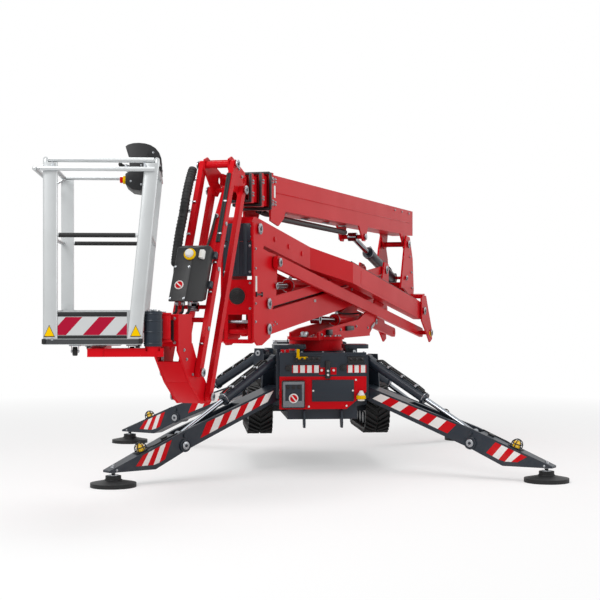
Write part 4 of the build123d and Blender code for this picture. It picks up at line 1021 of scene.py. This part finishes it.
class LIFT_OT_jib(bpy.types.Operator):
    """Dress the jib: its control box, beacon, hoses, pins and end plates"""
    bl_idname = "lift.jib"
    bl_label = "Jib"

    def beam(self, share, x, ahead=0.0):
        """A point along the front beams, so far ahead of them."""
        size = math.hypot(*JIB_REACH)
        out = (JIB_REACH[1] / size, -JIB_REACH[0] / size)
        return Vector((x, JIB_FRONT[0] + JIB_REACH[0] * share + out[0] * ahead,
                       JIB_FRONT[1] + JIB_REACH[1] * share + out[1] * ahead))

    def slope(self, roll):
        """The turn of a thing that lies on the front beams, rolled by so many degrees."""
        lean = Matrix.Rotation(-math.atan2(-JIB_REACH[0], -JIB_REACH[1]), 4, "X")
        return lean @ Matrix.Rotation(math.radians(roll), 4, "Y")

    def ahead(self, z, off):
        """A point of the side view, off ahead of the front beams' line at height z."""
        return (JIB_FRONT[0] + (z - JIB_FRONT[1]) * JIB_REACH[0] / JIB_REACH[1] - off, z)

    # The control case's side: height, and how far ahead of the beams
    CASE = ((1.365, 0.225), (1.720, 0.225), (1.735, 0.150), (1.700, 0.062), (1.375, 0.062), (1.365, 0.120))
    CASE_X, CASE_WIDE, CASE_CUT = -0.096, 0.200, 0.026
    OUT = Vector((0, JIB_REACH[1], -JIB_REACH[0])).normalized()
    ROTATOR_Y = -3.374
    ROTATOR_TOP = 1.3062

    def on_case(self, share, x, y=0.0, z=0.0):
        """A point on the case's front, share of the way up it."""
        low, top = [Vector((0, *self.ahead(*corner))) for corner in self.CASE[:2]]
        return low.lerp(top, share) + Vector((x, y, z))

    def case(self):
        """The control case, its outer front edge cut back to a slanting side."""
        shop = Shop(SWING)
        part = bmesh.new()
        outline = [(self.CASE_X, *self.ahead(*corner)) for corner in self.CASE]
        face = part.faces.new([part.verts.new(spot) for spot in outline])
        made = bmesh.ops.extrude_face_region(part, geom=[face])["geom"]
        bmesh.ops.translate(part, vec=(self.CASE_WIDE, 0, 0), verts=only(made, bmesh.types.BMVert))
        bmesh.ops.bisect_plane(part, geom=part.verts[:] + part.edges[:] + part.faces[:],
                               plane_co=(self.CASE_CUT, *outline[0][1:]),
                               plane_no=Vector((1, 0, 0)) + self.OUT * 0.95, clear_outer=True)
        bmesh.ops.holes_fill(part, edges=[e for e in part.edges if e.is_boundary], sides=0)
        bmesh.ops.recalc_face_normals(part, faces=part.faces)
        shop.add(part, "plastic", Matrix(), 0.008, 3)
        shop.finish("control_case", "jib_front", "plastic", ("jib_box",))

    def fittings(self):
        """The dial, the beacon, the socket, the bolts and the cable glands of the case."""
        box, out = Shop(SWING), self.OUT
        dial = self.on_case(0.30, -0.036)
        box.turned(dial, out, (0.006, 0.031, "white", 40, 0.002), (0.009, 0.024, "stripe_red", 36, 0.001))
        box.block(dial + out * 0.010, (0.044, 0.003, 0.008), "white", 0.0, self.slope(40))
        box.turned(self.on_case(0.86, 0.004), out, (0.016, 0.040, "yellow", 30, 0.003),
                   (0.040, 0.030, "white", 30, 0.004, 0.024))
        box.block(self.on_case(0.84, 0.070, 0.046, 0.010), (0.034, 0.034, 0.060), "white", 0.006, self.slope(0))
        for x in (-0.085, 0.010):
            for share in (0.06, 0.64):
                box.bolt(self.on_case(share, x), out, 0.006)
        for x in (-0.060, -0.015, 0.030):
            box.turned((x, -2.860, 1.3645), -UP, (0.026, 0.013, "zinc", 16, 0.002))
        box.finish("jib_box_trim", "jib_front", "plastic")

    def beams(self, lean):
        """Pin ends, clips and the case's brackets on the front beams."""
        beams = Shop(SWING)
        for side in (-1, 1):
            for share in (0.30, 0.52, 0.80):
                beams.turned(self.beam(share, side * 0.1295), (side, 0, 0), (0.006, 0.015, "zinc", 20, 0.002))
            for share in (0.20, 0.36, 0.50, 0.64, 0.88):
                spot = self.beam(share, side * 0.112, 0.036)
                beams.block(spot, (0.026, 0.020, 0.012), "zinc", 0.003, lean)
            for share in (0.47, 0.61):
                spot = self.beam(share, side * 0.098, 0.047)
                beams.block(spot, (0.054, 0.034, 0.045), "steel", 0.003, lean)
        beams.finish("jib_beam_trim", "jib_front", "steel")

    def hoses(self, lean):
        """The ribbed sleeve beside the beams, and the hoses of the beams and the case."""
        sleeve = Shop(SWING)
        points = [self.beam(share, -0.168, ahead) for share, ahead in (
            (0.03, 0.030), (0.10, 0.052), (0.18, 0.060), (0.27, 0.054), (0.36, 0.060), (0.44, 0.052),
            (0.50, 0.040))]
        for one, two in zip(points, points[1:]):
            sleeve.rod(one, two, 0.030, "rubber", 24, 0.002)
            sleeve.ball(two, 0.031, "rubber")
            for share in (0.2, 0.4, 0.6, 0.8):
                sleeve.ring(one.lerp(two, share), two - one, 0.0300, 0.0028, "rubber", steps=20)
        for share in (0.08, 0.24, 0.42):
            sleeve.block(self.beam(share, -0.142, 0.020), (0.034, 0.030, 0.012), "zinc", 0.003, lean)
        sleeve.finish("hose_sleeve", "jib_front", "rubber")
        lines = [[points[-1]] + [self.beam(*spot) for spot in (
            (0.55, -0.155, 0.060), (0.58, -0.128, 0.095), (0.60, -0.092, 0.110))]]
        lines += [[self.beam(share, x, 0.036) for share in (0.06, 0.2, 0.4)] for x in (0.100, 0.113)]
        for x in (-0.060, -0.015, 0.030):
            lines.append([Vector((x, -2.860, 1.345)), Vector((x, -2.864, 1.290)),
                          self.beam(0.76, x - 0.020, 0.120), self.beam(0.82, x - 0.035, 0.100),
                          self.beam(0.90, x - 0.040, 0.075)])
        hose("jib_hoses", "jib_front", SWING, lines, 0.009)

    def link(self):
        """The jib's end: pins, plates, and the rotator with its hoses."""
        link = Shop(SWING)
        link.pins(0.1395, *((y + JIB_REACH[0], z + JIB_REACH[1], 0.022) for y, z in (JIB_FRONT, JIB_REAR)))
        link.side_bolts(0.0915, 0.008, (-2.96, 0.90), (-3.06, 1.00), (-3.10, 1.06))
        link.pairs(((0.070, -3.070, 1.010), (0.014, 0.030, 0.080), "zinc", 0.004))
        link.block((0, -3.1905, 1.185), (0.120, 0.003, 0.130), "plastic", 0.001)
        corners = [Vector(spot) for spot in ((0, -2.792, 0.702), (0, -2.998, 0.849), (0, -3.120, 0.984))]
        for first, last in zip(corners, corners[1:]):
            way = last - first
            turn = Matrix.Rotation(math.atan2(way.z, way.y) - math.pi, 4, "X")
            link.block((first + last) / 2 + UP * 0.004, (0.152, way.length, 0.008), "red", 0.002, turn)
        for x in (-0.065, 0.065):
            for z in (1.11, 1.26):
                link.bolt((x, -3.1903, z), FORE, 0.008)
        for z in (1.110, 1.180, 1.250, 1.292):
            link.ring((0, self.ROTATOR_Y, z), UP, 0.0545, 0.005, "steel", steps=40)
        top = (0, self.ROTATOR_Y, self.ROTATOR_TOP)
        link.bolts(top, UP, 0.040, 8, 0.007)
        link.turned(top, UP, (0.0118, 0.022, "zinc", 24, 0.003))
        x, y = 0.022, -3.262
        for low, high, *disc in (
                (1.128, 1.284, 0.044, "red", 36, 0.006), (1.116, 1.128, 0.050, "red", 36, 0.003),
                (1.284, 1.296, 0.050, "red", 36, 0.003), (1.296, 1.304, 0.016, "zinc", 20, 0.002)):
            link.rod((x, y, low), (x, y, high), *disc)
        link.finish("rotator_trim", "jib_link", "steel")
        lines = [[(x, -3.190, 1.235), (x, -3.225, 1.245), (x * 0.6, -3.285, 1.262), (x * 0.5, -3.322, 1.262)]
                 for x in (-0.040, -0.015)]
        hose("rotator_hoses", "jib_link", SWING, lines, 0.008)

    def execute(self, context):
        lean = self.slope(0)
        self.case()
        self.fittings()
        self.beams(lean)
        self.hoses(lean)
        self.link()
        return {"FINISHED"}


class LIFT_OT_basket(bpy.types.Operator):
    """Dress the basket: rail joints, hand guard, kick plates, signs, console and casters"""
    bl_idname = "lift.basket"
    bl_label = "Basket"

    X0, X1, Y0, Y1 = -1.955, -1.255, -3.190, -1.890
    LOW_X1 = -1.365
    FLOOR, RAIL = 1.105, 2.240
    # The console hood's side (x, z)
    HOOD = ((-1.473, 2.338), (-1.455, 2.350), (-1.425, 2.3585), (-1.390, 2.361), (-1.350, 2.3575),
            (-1.315, 2.347), (-1.285, 2.328), (-1.262, 2.300), (-1.249, 2.265), (-1.246, 2.180),
            (-1.2525, 2.180), (-1.256, 2.262), (-1.345, 2.262), (-1.345, 2.170), (-1.352, 2.075),
            (-1.385, 2.061), (-1.430, 2.068), (-1.472, 2.100), (-1.474, 2.165), (-1.445, 2.185),
            (-1.452, 2.270))

    def kick(self, shop, origin, along, wide, high, out):
        """One striped kick plate, its stripes cut off at its ends."""
        stripe, plate = sizes().kick_stripe, sizes().plate
        origin, along, out = Vector(origin), Vector(along), Vector(out)
        count = int(wide / stripe) + 3
        for i in range(-2, count):
            lo, hi = (i + 0.5) * stripe, (i + 1.5) * stripe
            part = bmesh.new()
            corners = [(lo, 0.0), (hi, 0.0), (hi + high * 0.9, high), (lo + high * 0.9, high)]
            part.faces.new([part.verts.new((a, 0, b)) for a, b in corners])
            for x, way in ((0.0, -1), (wide, 1)):
                bmesh.ops.bisect_plane(part, geom=part.verts[:] + part.edges[:] + part.faces[:],
                                       plane_co=(x, 0, 0), plane_no=(way, 0, 0), clear_outer=True)
            if not part.faces:
                part.free()
                continue
            made = bmesh.ops.extrude_face_region(part, geom=part.faces[:])["geom"]
            bmesh.ops.translate(part, vec=(0, -plate, 0), verts=only(made, bmesh.types.BMVert))
            turn = Matrix((along, -out, UP)).transposed().to_4x4()
            shop.add(part, "crimson" if i % 2 else "pale", Matrix.Translation(origin) @ turn)

    def kicks(self):
        """The four kick plates with their edges and two blank signs."""
        shop, plate = Shop(CHASSIS), sizes().plate
        low, high, gap = 1.163, 0.109, 0.087
        wide, deep = self.LOW_X1 - self.X0 - 2 * gap, self.Y1 - self.Y0 - 0.072
        for origin, along, length, out in (
                ((self.X0 + gap, self.Y0 + 0.0035), (1, 0, 0), wide, (0, -1, 0)),
                ((self.LOW_X1 - gap, self.Y1 - 0.0035), (-1, 0, 0), wide, (0, 1, 0)),
                ((self.X0 + 0.0035, self.Y1 - 0.036), (0, -1, 0), deep, (-1, 0, 0)),
                ((self.LOW_X1 - 0.0035, self.Y0 + 0.036), (0, 1, 0), deep, (1, 0, 0))):
            self.kick(shop, (*origin, low), along, length, high, out)
        for y, way in ((self.Y0, -1), (self.Y1, 1)):
            for z, tall in ((1.151, 0.020), (1.289, 0.028)):
                spot = ((self.X0 + self.LOW_X1) / 2, y - way * 0.004, z)
                shop.block(spot, (wide, 0.006, tall), "plastic", 0.002)
        for x in (-1.9165, -1.3990):
            for w, lift, tone in ((0.034, 0.0, "plastic"), (0.02856, 0.0006, "yellow")):
                y = self.Y0 - 0.0118 - lift
                corners = [(x - w, y, 1.186 - w), (x + w, y, 1.186 - w), (x, y, 1.186 + w * 1.15)]
                shop.prism(corners, (0, -plate, 0), tone)
        shop.finish("kick_stripes", "basket", "aluminium")

    def rails(self):
        """The rails' joints, the posts' skins, the mid rails' sleeves and the bumper's struts."""
        rails = Shop(CHASSIS)
        top = self.RAIL - 0.016
        for x in (self.X0 + 0.016, self.X1 - 0.016):
            for y in (self.Y0 + 0.016, self.Y1 - 0.016):
                rails.ball((x, y, top), 0.0172, "aluminium")
                rails.rod((x, y, top - 0.040), (x, y, top), 0.0172, "aluminium", 24, 0.003)
        arc = [math.pi * i / 12 for i in range(13)]
        for y, way in ((self.Y0 + 0.017, -1), (self.Y1 - 0.017, 1)):
            for low_x, high_x in ((self.X0 + 0.043, self.X0 + 0.043), (self.LOW_X1 - 0.043, self.X1 - 0.0445)):
                section = [(low_x - 0.0425 * math.cos(a), y + way * (0.0165 + 0.0110 * math.sin(a)), 1.146)
                           for a in arc]
                rails.prism(section, (high_x - low_x, 0, 1.058), "aluminium")
            rails.rod((self.X0 + 0.092, y, 1.768), (self.LOW_X1 - 0.036, y, 1.768), 0.0142, "rubber", 24)
        bump_x, bump_y, bump_z = self.X0 - 0.046, self.Y0 - 0.030, 2.166
        for y in (self.Y0 + 0.060, (self.Y0 + self.Y1) / 2, self.Y1 - 0.060):
            rails.rod((bump_x, y, bump_z), (self.X0 + 0.020, y, 2.210), 0.009, "aluminium", 14)
        for x in (self.X0 + 0.060, self.X1 - 0.090):
            rails.rod((x, bump_y, bump_z), (x, self.Y0 + 0.016, 2.212), 0.009, "zinc", 14)
        rails.ball((bump_x, bump_y, bump_z), 0.0150, "aluminium")
        rails.finish("basket_fittings", "basket", "plastic")

    def floor(self):
        """The floor frame's ends, the tread marks and the four casters."""
        floor = Shop(CHASSIS)
        for y, way in ((self.Y0, -1), (self.Y1, 1)):
            for x in (self.X0 + 0.004, self.LOW_X1 - 0.004):
                floor.turned((x, y + way * 0.002, self.FLOOR + 0.004), UP, (0.032, 0.012, "rubber", 24, 0.003))
            spot = ((self.X0 + self.LOW_X1) / 2, y + way * 0.0008, self.FLOOR + 0.018)
            floor.block(spot, (0.560, 0.0016, 0.030), "iron")
        for row in range(15):
            for column in range(6):
                spot = (self.X0 + 0.08 + column * 0.085, self.Y0 + 0.09 + row * 0.08, self.FLOOR + 0.0352)
                turn = Matrix.Rotation(math.radians(45 if (row + column) % 2 else -45), 4, "Z")
                floor.block(spot, (0.034, 0.009, 0.003), "aluminium", 0.001, turn)
        axle = 1.062
        for x, y in ((-1.77, -3.10), (-1.425, -3.08), (-1.76, -2.00), (-1.425, -2.00)):
            floor.block((x, y, self.FLOOR - 0.006), (0.070, 0.055, 0.011), "zinc", 0.002)
            for side in (-1, 1):
                fork = [(y - 0.022, 1.096), (y + 0.022, 1.096), (y + 0.012, 1.052), (y - 0.012, 1.052)]
                floor.cheek(x + side * 0.020, fork, side * 0.003, "zinc")
            floor.rod((x - 0.015, y, axle), (x + 0.015, y, axle), 0.028, "rubber", 28, 0.005)
            floor.rod((x - 0.026, y, axle), (x + 0.026, y, axle), 0.007, "zinc", 12)
        floor.finish("floor_fittings", "basket", "rubber")

    def console(self):
        """The console's hood, with its levers, stop button, bolts and mounting plate."""
        hood = Shop(CHASSIS)
        hood.prism([(x, -2.900, z) for x, z in self.HOOD], (0, 0.400, 0), "plastic", 0.0025)
        for y in (-2.820, -2.580):
            hood.rod((-1.2445, y, 2.215), (-1.2475, y, 2.215), 0.009, "zinc", 16, 0.001)
        hood.finish("console_hood", "basket", "plastic", ("console",))

        desk = Shop(CHASSIS)
        for k in range(6):
            y = -2.860 + 0.062 * k
            desk.rod((-1.452, y, 2.212), (-1.478, y, 2.220), 0.011, "zinc", 18, 0.002)
            desk.rod((-1.478, y, 2.220), (-1.500, y, 2.227), 0.006, "plastic", 14)
            desk.ball((-1.506, y, 2.229), 0.013, "plastic")
        face, left = -1.4755, (-1, 0, 0)
        desk.turned((face, -2.800, 2.135), left, (0.0165, 0.026, "yellow", 30, 0.002),
                    (0.0365, 0.020, "stripe_red", 30, 0.006))
        for y in (-2.70, -2.64, -2.58):
            desk.turned((face, y, 2.135), left, (0.0085, 0.012, "zinc", 20, 0.002))
        for y, way in ((-2.9003, -1), (-2.4997, 1)):
            for x, z in ((-1.375, 2.10), (-1.375, 2.22), (-1.44, 2.12), (-1.30, 2.30)):
                desk.bolt((x, y, z), (0, way, 0), 0.005)
        desk.block((-1.290, -2.700, 2.262), (0.060, 0.300, 0.012), "zinc", 0.002)
        desk.finish("console_fittings", "basket", "plastic")

    def execute(self, context):
        self.kicks()
        self.rails()
        self.floor()
        self.console()
        studs = Shop(CHASSIS)
        for x, z in ((-1.42, 1.172), (-1.90, 1.140)):
            studs.turned((x, self.Y0, z), FORE, (0.006, 0.010, "zinc", 16, 0.001))
        studs.finish("corner_studs", "basket", "steel")
        return {"FINISHED"}


class LIFT_OT_stage(bpy.types.Operator):
    """Lay the pale floor, light the machine and set the camera"""
    bl_idname = "lift.stage"
    bl_label = "Stage"

    def execute(self, context):
        scene = context.scene
        part = bmesh.new()
        bmesh.ops.create_grid(part, x_segments=1, y_segments=1, size=60.0)
        mesh = bpy.data.meshes.new("studio_floor")
        part.to_mesh(mesh)
        part.free()
        ground = bpy.data.objects.new("studio_floor", mesh)
        scene.collection.objects.link(ground)
        f = Finish("studio_white", base_color=(0.93, 0.93, 0.93), roughness=0.9, specular_ior_level=0.05)
        far = f.node("VectorMath", {"operation": "LENGTH"}, {0: f.place}, 1).over(3.0, 9.0)
        seen = f.node("LightPath", {}, {}, "Is Camera Ray")
        glow = f.node("Emission", {}, {"Color": (1, 1, 1), "Strength": 1.0})
        diffuse = Wire(f, f.shader.outputs[0])
        both = f.node("MixShader", {}, {0: seen * (0.45 + far * 0.55), 1: diffuse, 2: glow})
        f.tree.links.new(both.socket, f.tree.nodes["Material Output"].inputs["Surface"])
        mesh.materials.append(f.material)

        world = bpy.data.worlds.new("studio")
        scene.world = world
        world.use_nodes = True
        nodes, links = world.node_tree.nodes, world.node_tree.links
        soft, white = nodes["Background"], nodes.new("ShaderNodeBackground")
        for node, strength in ((soft, 0.45), (white, 1.0)):
            node.inputs["Color"].default_value = (1, 1, 1, 1)
            node.inputs["Strength"].default_value = strength
        path = nodes.new("ShaderNodeLightPath")
        seen = path.outputs["Is Camera Ray"]
        for ray in ("Is Glossy Ray", "Is Transmission Ray"):
            either = nodes.new("ShaderNodeMath")
            either.operation = "MAXIMUM"
            links.new(seen, either.inputs[0])
            links.new(path.outputs[ray], either.inputs[1])
            seen = either.outputs[0]
        blend = nodes.new("ShaderNodeMixShader")
        for index, socket in enumerate((seen, soft.outputs[0], white.outputs[0])):
            links.new(socket, blend.inputs[index])
        links.new(blend.outputs[0], nodes["World Output"].inputs["Surface"])

        for name, spot, aim, size, power in (
                ("key", (-5.0, -7.5, 6.5), (0.0, -0.5, 1.0), 4.0, 400.0),
                ("fill", (7.0, -5.5, 4.0), (0.4, 0.0, 1.0), 5.0, 130.0),
                ("top", (0.0, 0.5, 7.5), (0.0, 0.0, 0.0), 6.0, 230.0)):
            light = bpy.data.lights.new(name, "AREA")
            light.shape = "SQUARE"
            light.size = size
            light.energy = power
            lamp = bpy.data.objects.new(name, light)
            lamp.location = spot
            lamp.rotation_euler = (Vector(aim) - Vector(spot)).to_track_quat("-Z", "Y").to_euler()
            scene.collection.objects.link(lamp)

        camera = bpy.data.cameras.new("camera")
        camera.lens = 84.0
        camera.sensor_width = 36.0
        camera.clip_start = 0.1
        camera.clip_end = 300.0
        eye = bpy.data.objects.new("camera", camera)
        eye.location = SLEW + Vector((-1.1136, -11.728, 1.375))
        eye.rotation_euler = (math.radians(90), 0, math.radians(-4.777))
        scene.collection.objects.link(eye)
        scene.camera = eye
        scene.view_settings.view_transform = "Standard"
        return {"FINISHED"}


class LIFT_PT_panel(bpy.types.Panel):
    """The colours, the sizes and the steps of the dressing"""
    bl_idname = "LIFT_PT_panel"
    bl_label = "Spider lift"
    bl_space_type = "VIEW_3D"
    bl_region_type = "UI"
    bl_category = "Spider lift"

    def draw(self, context):
        for group in (colours(), sizes()):
            box = self.layout.box()
            for key in type(group).__annotations__:
                box.prop(group, key)
        for step in STEPS:
            self.layout.operator(step.bl_idname)


STEPS = (LIFT_OT_paint, LIFT_OT_legs, LIFT_OT_tracks, LIFT_OT_panel, LIFT_OT_riser, LIFT_OT_boom, LIFT_OT_jib,
         LIFT_OT_basket, LIFT_OT_stage)
CLASSES = (LiftColours, LiftSizes, *STEPS, LIFT_PT_panel)


def register():
    for kind in CLASSES:
        bpy.utils.register_class(kind)
    bpy.types.Scene.lift_colours = PointerProperty(type=LiftColours)
    bpy.types.Scene.lift_sizes = PointerProperty(type=LiftSizes)


def unregister():
    del bpy.types.Scene.lift_sizes
    del bpy.types.Scene.lift_colours
    for kind in reversed(CLASSES):
        bpy.utils.unregister_class(kind)


def main():
    register()
    lift = bpy.ops.lift
    for step in (lift.paint, lift.legs, lift.tracks, lift.panel, lift.riser, lift.boom, lift.jib,
                 lift.basket, lift.stage):
        step()


if __name__ == "__main__":
    main()
